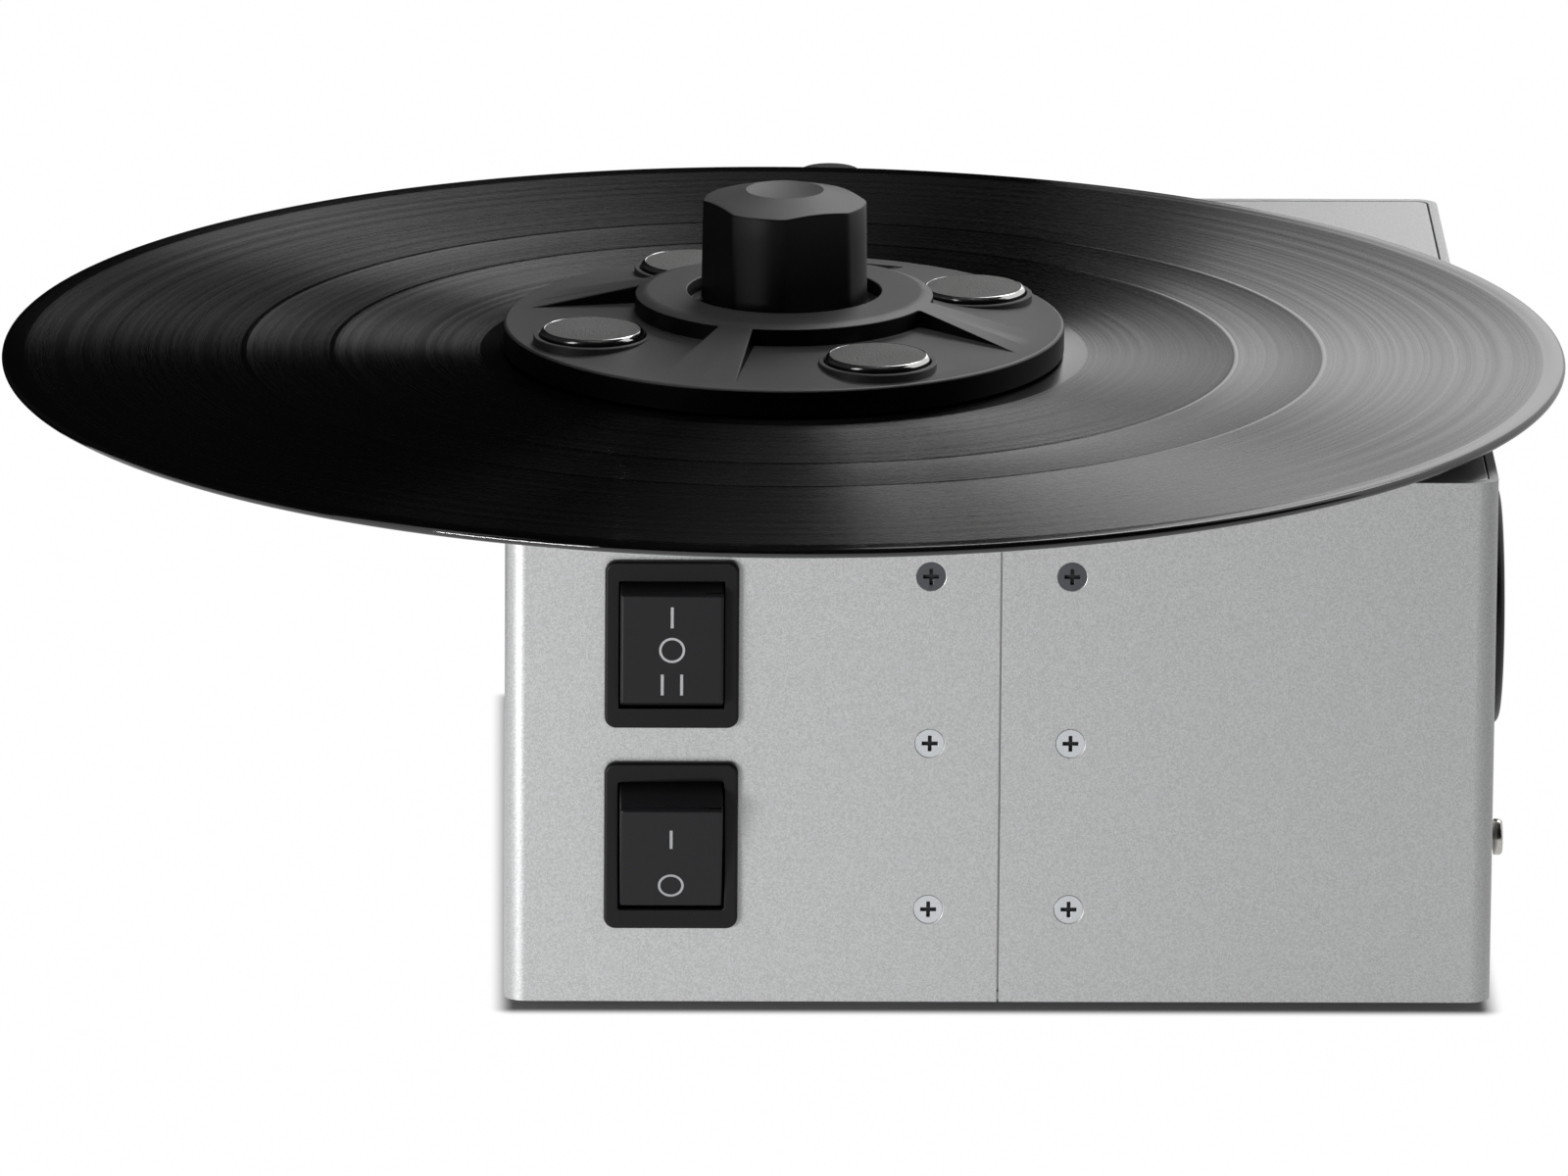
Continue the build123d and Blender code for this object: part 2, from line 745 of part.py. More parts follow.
with BuildPart() as gear_motor:
    with Locations((motor_x, motor_y, motor_plate_bottom)):
        Cylinder(gearbox_radius, gearbox_height, align=(Align.CENTER, Align.CENTER, Align.MAX))
    with Locations((motor_x, motor_y, motor_plate_bottom - gearbox_height)):
        Cylinder(motor_can_radius, motor_can_height, align=(Align.CENTER, Align.CENTER, Align.MAX))
    chamfer(gear_motor.edges().group_by(Axis.Z)[0], motor_can_chamfer)
save(gear_motor, "gear_motor")

pillar_x = motor_plate_width / 2 - pillar_inset
pillar_y = motor_plate_depth / 2 - pillar_inset
pillar_spots = [(-pillar_x, -pillar_y), (pillar_x, -pillar_y), (pillar_x, pillar_y)]
with BuildPart() as motor_plate:
    with BuildSketch(Plane(origin=(motor_plate_x, motor_y, motor_plate_bottom))):
        RectangleRounded(motor_plate_width, motor_plate_depth, motor_plate_corner)
        with Locations((motor_x - motor_plate_x, 0)):
            Circle(motor_shaft_radius + motor_boss_clearance, mode=Mode.SUBTRACT)
    extrude(amount=motor_plate_thick)
save(motor_plate, "motor_plate")

with BuildPart() as motor_pillars:
    with Locations((motor_plate_x, motor_y, motor_plate_top)):
        with Locations(*pillar_spots):
            Cylinder(pillar_radius, ceiling - motor_plate_top, align=(Align.CENTER, Align.CENTER, Align.MIN))
save(motor_pillars, "motor_pillars")

# ---------------------------------------------------------------- record clamp
clamp_base = Plane(origin=(0, spindle_y, clamp_bottom))
clamp_axis = Axis((0, spindle_y, 0), (0, 0, 1))
clamp_profile = Plane(origin=(0, spindle_y, clamp_bottom), x_dir=(1, 0, 0), z_dir=(0, -1, 0))

with BuildPart() as clamp_pockets:
    with BuildSketch(clamp_profile):
        Polygon((clamp_shoulder_radius, 2 * clamp_hub_height), (clamp_shoulder_radius, pocket_floor_height),
                (pocket_outer_radius, clamp_rim_height), (pocket_outer_radius, 2 * clamp_hub_height), align=None)
    revolve(axis=clamp_axis)
    with BuildSketch(clamp_base):
        with PolarLocations(0, clamp_spokes, start_angle=spoke_angle):
            Polygon((0, -spoke_inner_width / 2), (clamp_hub_radius, -spoke_inner_width / 2),
                    (pocket_outer_radius, -spoke_outer_width / 2), (pocket_outer_radius, spoke_outer_width / 2),
                    (clamp_hub_radius, spoke_inner_width / 2), (0, spoke_inner_width / 2), align=None)
    extrude(amount=3 * clamp_hub_height, mode=Mode.SUBTRACT)

weight_angle = spoke_angle - 180 / clamp_spokes
with BuildPart() as clamp_disc:
    with BuildSketch(clamp_profile):
        Polygon((0, 0), (clamp_radius, 0), (clamp_radius, clamp_rim_height - clamp_rim_chamfer),
                (clamp_radius - clamp_rim_chamfer, clamp_rim_height), (pocket_outer_radius, clamp_rim_height),
                (clamp_shoulder_radius, clamp_shoulder_height), (clamp_hub_radius, clamp_hub_height),
                (0, clamp_hub_height), align=None)
    revolve(axis=clamp_axis)
    add(clamp_pockets.part, mode=Mode.SUBTRACT)
    with BuildSketch(clamp_base.offset(clamp_recess_floor)):
        Circle(clamp_recess_radius)
    extrude(amount=clamp_hub_height, mode=Mode.SUBTRACT)
    with BuildSketch(clamp_base):
        Circle(clamp_bore_radius)
    extrude(amount=clamp_hub_height, mode=Mode.SUBTRACT)
    with BuildSketch(clamp_base.offset(weight_floor)):
        with PolarLocations(weight_circle_radius, clamp_spokes, start_angle=weight_angle):
            Circle(weight_radius + weight_gap)
    extrude(amount=clamp_hub_height, mode=Mode.SUBTRACT)
    with BuildSketch(clamp_base):
        Circle(seal_radius)
        Circle(seal_radius - seal_width, mode=Mode.SUBTRACT)
    extrude(amount=seal_depth, mode=Mode.SUBTRACT)
save(clamp_disc, "clamp_disc")

with BuildPart() as clamp_weights:
    with BuildSketch(clamp_base.offset(weight_floor)):
        with PolarLocations(weight_circle_radius, clamp_spokes, start_angle=weight_angle):
            Circle(weight_radius)
    extrude(amount=weight_height)
    chamfer(clamp_weights.edges().group_by(Axis.Z)[-1], weight_chamfer)
save(clamp_weights, "clamp_weights")

with BuildPart() as clamp_seal:
    with BuildSketch(Plane(origin=(0, spindle_y, record_top))):
        Circle(seal_radius)
        Circle(seal_radius - seal_width, mode=Mode.SUBTRACT)
    extrude(amount=clamp_lift_gap + seal_depth)
save(clamp_seal, "clamp_seal")

with BuildPart() as clamp_washer:
    with BuildSketch(clamp_base.offset(clamp_recess_floor)):
        Circle(washer_radius)
        Circle(washer_bore_radius, mode=Mode.SUBTRACT)
    extrude(amount=washer_thick)
save(clamp_washer, "clamp_washer")

knob_plane = Plane(origin=(0, spindle_y, knob_bottom), x_dir=(1, 0, 0), z_dir=(0, -1, 0))
with BuildPart() as clamp_knob:
    with BuildSketch(knob_plane):
        with BuildLine():
            dish_edge = (knob_dish_radius, knob_height + knob_crown)
            dish_floor = (0, knob_height + knob_crown - knob_dish_depth)
            Polyline(dish_floor, (0, 0), (knob_radius, 0), (knob_top_radius, knob_height), dish_edge)
            TangentArc(dish_floor, dish_edge, tangent=(1, 0))
        make_face()
    revolve(axis=clamp_axis)
    with BuildSketch(Plane(origin=(0, spindle_y, knob_bottom))):
        with PolarLocations(knob_flat_radius + knob_radius, clamp_spokes, start_angle=weight_angle):
            Rectangle(2 * knob_radius, 2 * knob_radius)
    extrude(amount=knob_height + knob_crown, mode=Mode.SUBTRACT)
    with BuildSketch(Plane(origin=(0, spindle_y, knob_bottom))):
        Circle(insert_radius + fit_gap)
    extrude(amount=knob_bore_depth, mode=Mode.SUBTRACT)
save(clamp_knob, "clamp_knob")

with BuildPart() as knob_insert:
    with BuildSketch(Plane(origin=(0, spindle_y, knob_bottom))):
        Circle(insert_radius)
        Circle(pin_radius + running_gap, mode=Mode.SUBTRACT)
    extrude(amount=insert_length)
save(knob_insert, "knob_insert")

# ---------------------------------------------------------------- vacuum arm socket
with BuildPart() as arm_socket:
    with BuildSketch(Plane(origin=(socket_x, socket_y, socket_top - socket_height))):
        Circle(socket_radius)
        with Locations((0, -socket_offset / 2)):
            Rectangle(socket_web_width, socket_offset)
    extrude(amount=socket_height)
    with Locations((socket_x, case_back, socket_top - socket_height / 2)):
        Box(socket_flange_width, socket_flange_thick, socket_height,
            align=(Align.CENTER, Align.MIN, Align.CENTER))
    with Locations(plane_at(socket_x, case_back, spigot_z, (0, 1, 0), (1, 0, 0))):
        Cylinder(spigot_radius, lid_spigot_length + wall + bracket_thick,
                 align=(Align.CENTER, Align.CENTER, Align.MAX))
        Cylinder(spigot_bore_radius, lid_spigot_length + wall + bracket_thick,
                 align=(Align.CENTER, Align.CENTER, Align.MAX), mode=Mode.SUBTRACT)
        Cylinder(spigot_bore_radius, socket_offset, align=(Align.CENTER, Align.CENTER, Align.MIN),
                 mode=Mode.SUBTRACT)
    with Locations((socket_x, socket_y, socket_top)):
        Cylinder(socket_bore_radius, socket_height - socket_wall,
                 align=(Align.CENTER, Align.CENTER, Align.MAX), mode=Mode.SUBTRACT)
save(arm_socket, "arm_socket")

with BuildPart() as socket_cap:
    with Locations((socket_x, socket_y, socket_top)):
        Cylinder(cap_radius, cap_head_height, align=(Align.CENTER, Align.CENTER, Align.MIN))
        Cylinder(cap_plug_radius, cap_plug_length, align=(Align.CENTER, Align.CENTER, Align.MAX))
    fillet(socket_cap.edges().group_by(Axis.Z)[-1], cap_dome)
save(socket_cap, "socket_cap")

# ---------------------------------------------------------------- used-fluid tank
with BuildPart() as fluid_tank:
    with BuildSketch(Plane.XY.offset(tank_bottom)):
        with Locations((tank_x, tank_y)):
            RectangleRounded(tank_width, tank_back - tank_front, tank_corner)
    extrude(amount=tank_height)
    with BuildSketch(Plane.XY.offset(tank_bottom + tank_wall)):
        with Locations((tank_x, tank_y)):
            RectangleRounded(tank_width - 2 * tank_wall, tank_back - tank_front - 2 * tank_wall,
                             tank_corner - tank_wall)
    extrude(amount=tank_height, mode=Mode.SUBTRACT)
    with Locations(plane_at(drain_outlet_x, tank_front, drain_outlet_z, (0, -1, 0), (1, 0, 0))):
        Cylinder(drain_tube_radius, drain_outlet_length, align=(Align.CENTER, Align.CENTER, Align.MIN))
        Cylinder(drain_bore_radius, 4 * drain_outlet_length, mode=Mode.SUBTRACT)
    vacuum_y = exhaust_y + inlet_offset_y
    vacuum_z = exhaust_z + inlet_offset_z
    with Locations(plane_at(tank_right, vacuum_y, vacuum_z, (1, 0, 0), (0, 1, 0))):
        Cylinder(inlet_radius, inlet_length, align=(Align.CENTER, Align.CENTER, Align.MIN))
        Cylinder(inlet_bore_radius, 4 * inlet_length, mode=Mode.SUBTRACT)
save(fluid_tank, "fluid_tank")

with BuildPart() as tank_seal:
    with BuildSketch(Plane.XY.offset(tank_top)):
        with Locations((tank_x, tank_y)):
            RectangleRounded(tank_width, tank_back - tank_front, tank_corner)
            RectangleRounded(tank_width - 2 * tank_wall, tank_back - tank_front - 2 * tank_wall,
                             tank_corner - tank_wall, mode=Mode.SUBTRACT)
    extrude(amount=tank_seal_thick)
save(tank_seal, "tank_seal")

tower_y = case_back - wall - bracket_thick - 2 * lid_spigot_length - lid_tower_radius
with BuildPart() as tank_lid:
    with BuildSketch(Plane.XY.offset(lid_bottom)):
        with Locations((tank_x, tank_y)):
            RectangleRounded(tank_width, tank_back - tank_front, tank_corner)
    extrude(amount=lid_thick)
    with Locations((socket_x, tower_y, lid_bottom)):
        Cylinder(lid_tower_radius, lid_tower_top, align=(Align.CENTER, Align.CENTER, Align.MIN))
    with Locations(plane_at(socket_x, tower_y, spigot_z, (0, 1, 0), (1, 0, 0))):
        Cylinder(spigot_radius, lid_tower_radius + lid_spigot_length,
                 align=(Align.CENTER, Align.CENTER, Align.MIN))
        Cylinder(spigot_bore_radius, lid_tower_radius + lid_spigot_length,
                 align=(Align.CENTER, Align.CENTER, Align.MIN), mode=Mode.SUBTRACT)
    with Locations((socket_x, tower_y, lid_bottom)):
        Cylinder(spigot_bore_radius, spigot_z - lid_bottom,
                 align=(Align.CENTER, Align.CENTER, Align.MIN), mode=Mode.SUBTRACT)
save(tank_lid, "tank_lid")

hose_start = tower_y + lid_tower_radius
hose_end = case_back - wall - bracket_thick
with BuildPart() as suction_hose:
    with BuildSketch(plane_at(socket_x, hose_start + axial_gap, spigot_z, (0, 1, 0), (1, 0, 0))):
        Circle(spigot_radius + hose_fit + hose_wall)
        Circle(spigot_radius + hose_fit, mode=Mode.SUBTRACT)
    extrude(amount=hose_end - hose_start - 2 * axial_gap)
save(suction_hose, "suction_hose")

with BuildPart() as vacuum_hose:
    with BuildSketch(plane_at(tank_right + axial_gap, vacuum_y, vacuum_z, (1, 0, 0), (0, 1, 0))):
        Circle(inlet_radius + hose_fit + hose_wall)
        Circle(inlet_radius + hose_fit, mode=Mode.SUBTRACT)
    extrude(amount=manifold_start - tank_right - 2 * axial_gap)
save(vacuum_hose, "vacuum_hose")

# ---------------------------------------------------------------- vacuum unit
def along_x(x):
    """A sketch plane across the blower's axis at a given x."""
    return plane_at(x, exhaust_y, exhaust_z, (1, 0, 0), (0, 1, 0))


with BuildPart() as fan_housing:
    with BuildSketch(along_x(manifold_start)):
        Circle(blower_radius)
    extrude(amount=blower_manifold + blower_length)
    with BuildSketch(along_x(manifold_start + blower_wall)):
        Circle(blower_radius - blower_wall)
    extrude(amount=blower_manifold - 2 * blower_wall, mode=Mode.SUBTRACT)
    with BuildSketch(along_x(blower_start)):
        Circle(blower_radius - blower_wall)
    extrude(amount=blower_length, mode=Mode.SUBTRACT)
    with BuildSketch(along_x(blower_start - blower_manifold / 2)):
        Circle(blower_eye_radius)
    extrude(amount=blower_manifold / 2, mode=Mode.SUBTRACT)
    with BuildSketch(along_x(manifold_start)):
        with Locations((inlet_offset_y, inlet_offset_z)):
            Circle(inlet_radius)
    extrude(amount=-inlet_length)
    with BuildSketch(along_x(manifold_start + blower_manifold / 2)):
        with Locations((inlet_offset_y, inlet_offset_z)):
            Circle(inlet_bore_radius)
    extrude(amount=-inlet_length - blower_manifold, mode=Mode.SUBTRACT)
save(fan_housing, "fan_housing")

impeller_start = blower_start + impeller_clearance
with BuildPart() as impeller:
    with BuildSketch(along_x(impeller_start + impeller_width)):
        Circle(impeller_radius)
    extrude(amount=impeller_plate)
    with BuildSketch(along_x(impeller_start)):
        Circle(impeller_shaft_radius * 2)
        with PolarLocations(0, impeller_blades):
            with Locations((impeller_radius * blade_middle_share, 0)):
                Rectangle(impeller_radius * blade_length_share, impeller_blade_thick, rotation=blade_lean)
    extrude(amount=impeller_width)
    with BuildSketch(along_x(impeller_start)):
        Circle(impeller_shaft_radius)
    extrude(amount=blower_motor_start - impeller_start + blower_motor_length / 2)
save(impeller, "impeller")

with BuildPart() as vacuum_motor:
    with BuildSketch(along_x(blower_motor_start)):
        Circle(blower_radius)
    extrude(amount=blower_wall)
    with BuildSketch(along_x(blower_motor_start)):
        Circle(blower_motor_radius)
    extrude(amount=blower_motor_length)
    with BuildSketch(along_x(blower_motor_start)):
        Circle(impeller_shaft_radius + running_gap)
    extrude(amount=blower_motor_length / 2 + axial_gap, mode=Mode.SUBTRACT)
save(vacuum_motor, "vacuum_motor")

with BuildPart() as motor_cradle:
    with Locations((blower_end - cradle_length, exhaust_y, base_top)):
        Box(cradle_length, cradle_width, exhaust_z - base_top - blower_motor_radius / 2,
            align=(Align.CENTER, Align.CENTER, Align.MIN))
    with Locations(along_x(blower_end - cradle_length)):
        Cylinder(blower_motor_radius + cradle_gap, 2 * cradle_length, mode=Mode.SUBTRACT)
save(motor_cradle, "motor_cradle")

with BuildPart() as exhaust_seal:
    with BuildSketch(along_x(blower_end)):
        Circle(seal_ring_outer)
        Circle(seal_ring_inner, mode=Mode.SUBTRACT)
    extrude(amount=blower_to_wall)
save(exhaust_seal, "exhaust_seal")

with BuildPart() as exhaust_cover:
    with BuildSketch(along_x(case_right)):
        Circle(exhaust_radius)
    extrude(amount=exhaust_proud)
    fillet(exhaust_cover.edges().group_by(Axis.X)[-1], exhaust_edge)
    with BuildSketch(along_x(case_right)):
        Circle(exhaust_hole_radius - switch_fit)
    extrude(amount=-exhaust_spigot_length)
    with BuildSketch(along_x(case_right - exhaust_spigot_length)):
        Circle(exhaust_hole_radius - switch_fit - exhaust_spigot_wall)
    extrude(amount=exhaust_spigot_length + exhaust_proud - exhaust_skin, mode=Mode.SUBTRACT)
    with BuildSketch(along_x(case_right + exhaust_proud)):
        slot_middle = (exhaust_slot_inner + exhaust_slot_outer) / 2
        with PolarLocations(slot_middle, exhaust_slots):
            SlotOverall(exhaust_slot_outer - exhaust_slot_inner, exhaust_slot_width)
    extrude(amount=-exhaust_skin, mode=Mode.SUBTRACT)
save(exhaust_cover, "exhaust_cover")


# ---------------------------------------------------------------- drain
def drain_plane(x):
    """A sketch plane across the drain spout at a given x."""
    return plane_at(x, drain_y, drain_z, (1, 0, 0), (0, 1, 0))


with BuildPart() as drain_fitting:
    with BuildSketch(drain_plane(case_right - wall - drain_inside)):
        Circle(drain_tube_radius)
    extrude(amount=wall + drain_inside + drain_ring_pitch)
    for ring in range(2):
        with BuildSketch(drain_plane(case_right + ring * drain_ring_pitch)):
            Circle(drain_ring_radius)
        extrude(amount=drain_ring_thick)
    chamfer(drain_fitting.edges().group_by(Axis.X)[-1], drain_chamfer)
    with BuildSketch(drain_plane(case_right - wall - drain_inside)):
        Circle(drain_bore_radius)
    extrude(amount=wall + drain_inside + drain_ring_pitch + drain_ring_thick, mode=Mode.SUBTRACT)
save(drain_fitting, "drain_fitting")

with BuildPart() as drain_nut:
    with BuildSketch(drain_plane(case_right - wall)):
        RegularPolygon(drain_nut_radius, 6)
        Circle(drain_tube_radius + fit_gap, mode=Mode.SUBTRACT)
    extrude(amount=-drain_nut_thick)
save(drain_nut, "drain_nut")

hose_x_end = case_right - wall - drain_nut_thick - drain_hose_end_gap
hose_run = hose_x_end - drain_outlet_x
hose_reach = tank_front - drain_y
hose_route = [(drain_outlet_x, tank_front - hose_fit_gap, drain_outlet_z),
              (drain_outlet_x, tank_front - hose_first_reach * hose_reach, drain_outlet_z),
              (drain_outlet_x + hose_second_run * hose_run, tank_front - hose_second_reach * hose_reach,
               drain_outlet_z),
              (drain_outlet_x + hose_third_run * hose_run, drain_y, drain_z),
              (hose_x_end, drain_y, drain_z)]
with BuildPart() as drain_hose:
    with BuildLine() as hose_line:
        FilletPolyline(*hose_route, radius=bend_radii(hose_route))
    with BuildSketch(Plane(origin=hose_route[0], z_dir=hose_line.line % 0)):
        Circle(drain_hose_radius)
        Circle(drain_tube_radius + hose_fit, mode=Mode.SUBTRACT)
    sweep(path=hose_line.line)
    with Locations(plane_at(drain_outlet_x, tank_front, drain_outlet_z, (0, -1, 0), (1, 0, 0))):
        Cylinder(drain_tube_radius + hose_fit, drain_outlet_length + axial_gap,
                 align=(Align.CENTER, Align.CENTER, Align.MIN), mode=Mode.SUBTRACT)
save(drain_hose, "drain_hose")

# ---------------------------------------------------------------- mains inlet
inlet_face = plane_at(inlet_x, case_back, inlet_z, (0, 1, 0), (-1, 0, 0))
with BuildPart() as mains_inlet:
    with BuildSketch(inlet_face):
        RectangleRounded(inlet_bezel_width, inlet_bezel_height, inlet_bezel_corner)
    extrude(amount=inlet_bezel_thick)
    with BuildSketch(inlet_face):
        Rectangle(inlet_body_width, inlet_body_height)
    extrude(amount=-inlet_body_depth)
    with BuildSketch(inlet_face.offset(inlet_bezel_thick)):
        with Locations((0, socket_up)):
            Rectangle(socket_width, socket_tall)
    extrude(amount=-socket_depth, mode=Mode.SUBTRACT)
    with BuildSketch(inlet_face.offset(inlet_bezel_thick)):
        with Locations((0, -drawer_down)):
            Rectangle(drawer_width + 2 * drawer_gap, drawer_height + 2 * drawer_gap)
    extrude(amount=-drawer_depth - drawer_gap, mode=Mode.SUBTRACT)
    with BuildSketch(inlet_face.offset(inlet_bezel_thick - socket_depth)):
        with Locations((-blade_pitch, socket_up + live_blade_up), (blade_pitch, socket_up + live_blade_up),
                       (0, socket_up + earth_blade_up)):
            Rectangle(blade_width + 2 * fit_gap, blade_tall + 2 * fit_gap)
    extrude(amount=-inlet_body_depth, mode=Mode.SUBTRACT)
save(mains_inlet, "mains_inlet")

with BuildPart() as inlet_blades:
    with BuildSketch(inlet_face.offset(inlet_bezel_thick - socket_depth + blade_length)):
        with Locations((-blade_pitch, socket_up + live_blade_up), (blade_pitch, socket_up + live_blade_up),
                       (0, socket_up + earth_blade_up)):
            Rectangle(blade_width, blade_tall)
    extrude(amount=-(inlet_body_depth + inlet_bezel_thick - socket_depth + blade_length + blade_root))
save(inlet_blades, "inlet_blades")

with BuildPart() as fuse_drawer:
    with BuildSketch(inlet_face.offset(inlet_bezel_thick + drawer_lip)):
        with Locations((0, -drawer_down)):
            Rectangle(drawer_width, drawer_height)
    extrude(amount=-drawer_depth - drawer_lip)
    with Locations(inlet_face.offset(inlet_bezel_thick - drawer_depth / 2)):
        with Locations((0, -drawer_down, 0)):
            Box(2 * fuse_radius + 2 * fit_gap, drawer_height, fuse_length + 2 * fit_gap, mode=Mode.SUBTRACT)
save(fuse_drawer, "fuse_drawer")

with BuildPart() as fuse:
    with Locations(inlet_face.offset(inlet_bezel_thick - drawer_depth / 2)):
        with Locations((0, -drawer_down, 0)):
            Cylinder(fuse_radius, fuse_length)
save(fuse, "fuse")

# ---------------------------------------------------------------- power board
with BuildPart() as power_board:
    with Locations((board_x, board_y, board_bottom)):
        Box(board_width, board_depth, board_thick, align=(Align.CENTER, Align.CENTER, Align.MIN))
save(power_board, "power_board")

with BuildPart() as board_standoffs:
    with Locations((board_x, board_y, base_top)):
        with GridLocations(board_width - 2 * standoff_inset, board_depth - 2 * standoff_inset, 2, 2):
            Cylinder(standoff_radius, board_lift, align=(Align.CENTER, Align.CENTER, Align.MIN))
save(board_standoffs, "board_standoffs")

with BuildPart() as board_components:
    with Locations((board_x, board_y, board_bottom + board_thick)):
        with Locations((-board_width / 4, 0)):
            Cylinder(capacitor_radius, capacitor_height, align=(Align.CENTER, Align.CENTER, Align.MIN))
        with Locations((0, 0)):
            Box(relay_size, relay_width, relay_size, align=(Align.CENTER, Align.CENTER, Align.MIN))
        with Locations((board_width / 4 + block_depth / 2, 0)):
            Box(block_depth, block_width, block_height, align=(Align.CENTER, Align.CENTER, Align.MIN))
save(board_components, "board_components")

print("hose bend radii", [round(radius, 1) for radius in bend_radii(hose_route)])
print("nodes", len(parts_made), "spindle_y", spindle_y, "motor", motor_x, motor_y)
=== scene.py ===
"""Looks of the record cleaning machine: every visible piece, its finish, the light and the camera.

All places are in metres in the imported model's frame. The record turns about the spindle, the front
of the case faces -Y and +X is to the right.
"""

from __future__ import annotations

import logging
import math
from dataclasses import dataclass, field
from enum import Enum
from functools import partialmethod
from typing import Callable, Iterator, Sequence

import bmesh
import bpy
from mathutils import Matrix, Vector

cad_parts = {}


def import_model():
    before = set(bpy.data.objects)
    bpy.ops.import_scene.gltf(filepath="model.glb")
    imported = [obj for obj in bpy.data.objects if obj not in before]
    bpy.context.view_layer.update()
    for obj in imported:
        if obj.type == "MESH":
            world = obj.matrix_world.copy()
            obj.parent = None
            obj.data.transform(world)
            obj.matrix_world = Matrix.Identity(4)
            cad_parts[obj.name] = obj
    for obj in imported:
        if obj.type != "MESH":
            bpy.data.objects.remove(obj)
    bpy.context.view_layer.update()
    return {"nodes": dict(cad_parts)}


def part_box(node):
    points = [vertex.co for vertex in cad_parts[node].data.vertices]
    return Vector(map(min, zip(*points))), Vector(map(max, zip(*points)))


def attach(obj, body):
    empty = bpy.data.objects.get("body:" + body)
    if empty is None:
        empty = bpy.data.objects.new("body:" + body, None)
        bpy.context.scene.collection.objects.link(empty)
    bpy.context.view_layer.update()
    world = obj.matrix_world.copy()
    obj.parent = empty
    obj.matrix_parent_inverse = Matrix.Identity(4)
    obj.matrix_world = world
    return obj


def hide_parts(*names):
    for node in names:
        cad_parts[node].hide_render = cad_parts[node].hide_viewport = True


LOG = logging.getLogger("record_cleaner")
MM = 0.001
MICRON = 0.001 * MM
Point = tuple[float, float]
Spot = tuple[float, float, float]
Colour = tuple[float, float, float]
Piece, Material = bpy.types.Object, bpy.types.Material
Draft, Vert, Face = bmesh.types.BMesh, bmesh.types.BMVert, bmesh.types.BMFace

NOISE_SPAN = (0.3, 0.7)  # where most of a noise's values lie
ON_AXIS = 1e-9  # a smaller radius is a point on the axis, in metres
MERGE_REACH = 2e-6  # CAD corners closer than this are one corner, in metres
FLAT_ANGLE = math.radians(0.4)  # CAD faces that turn less than this are one flat face
EVEN_WEIGHT = 100  # how strongly large faces lead the shading of rounded edges


class Mark(Enum):
    """A sign printed on a rocker key."""

    BAR = "bar"
    PAIR = "pair of bars"
    RING = "ring"


@dataclass(frozen=True)
class Pressing:
    """The record's zones, by radius in metres."""

    label: float = 50.0 * MM
    groove_start: float = 58.5 * MM
    groove_end: float = 146.2 * MM
    gaps: tuple[float, ...] = (87.0 * MM, 104.0 * MM)
    gap_width: float = 1.0 * MM


def shaded(colour: Colour, factor: float) -> Colour:
    """The colour made darker or lighter by a factor."""
    return tuple(part * factor for part in colour)


def centre_of(name: str) -> Spot:
    """The middle of a CAD node's box."""
    low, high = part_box(name)
    return tuple((start + end) / 2 for start, end in zip(low, high))


def turns_of(steps: int) -> list[float]:
    """The angles of equal steps round a circle, in radians."""
    return [2 * math.pi * step / steps for step in range(steps)]


def about(centre: Spot, turn: float, radius: float, height: float) -> Spot:
    """The point at an angle, a radius and a height about an upright axis."""
    return (centre[0] + radius * math.cos(turn), centre[1] + radius * math.sin(turn),
            centre[2] + height)


# ---------------------------------------------------------------- shader graphs
class Signal:
    """A node socket that takes part in Python arithmetic."""

    def __init__(self, graph: Graph, socket: bpy.types.NodeSocket) -> None:
        """Keep the graph that owns the socket."""
        self.graph = graph
        self.socket = socket

    def _math(self, operation: str, *others: Signal | float) -> Signal:
        """Add one Math node with this signal first."""
        return self.graph.math(operation, self, *others)

    def __rsub__(self, other: float) -> Signal:
        """Take this signal from a number."""
        return self.graph.math("SUBTRACT", other, self)

    __add__ = __radd__ = partialmethod(_math, "ADD")
    __sub__ = partialmethod(_math, "SUBTRACT")
    __mul__ = partialmethod(_math, "MULTIPLY")

    def step(self, low: float, high: float) -> Signal:
        """Rise smoothly from 0 at low to 1 at high."""
        settings = {"interpolation_type": "SMOOTHSTEP"}
        values = {"Value": self, "From Min": low, "From Max": high}
        return self.graph.node("ShaderNodeMapRange", settings, values)

    def stretched(self) -> Signal:
        """A noise drawn out to its full contrast."""
        return self.step(*NOISE_SPAN)

    def band(self, low: float, high: float, soft: float) -> Signal:
        """Be 1 between low and high, with soft edges."""
        return self.step(low - soft, low + soft) * (1 - self.step(high - soft, high + soft))


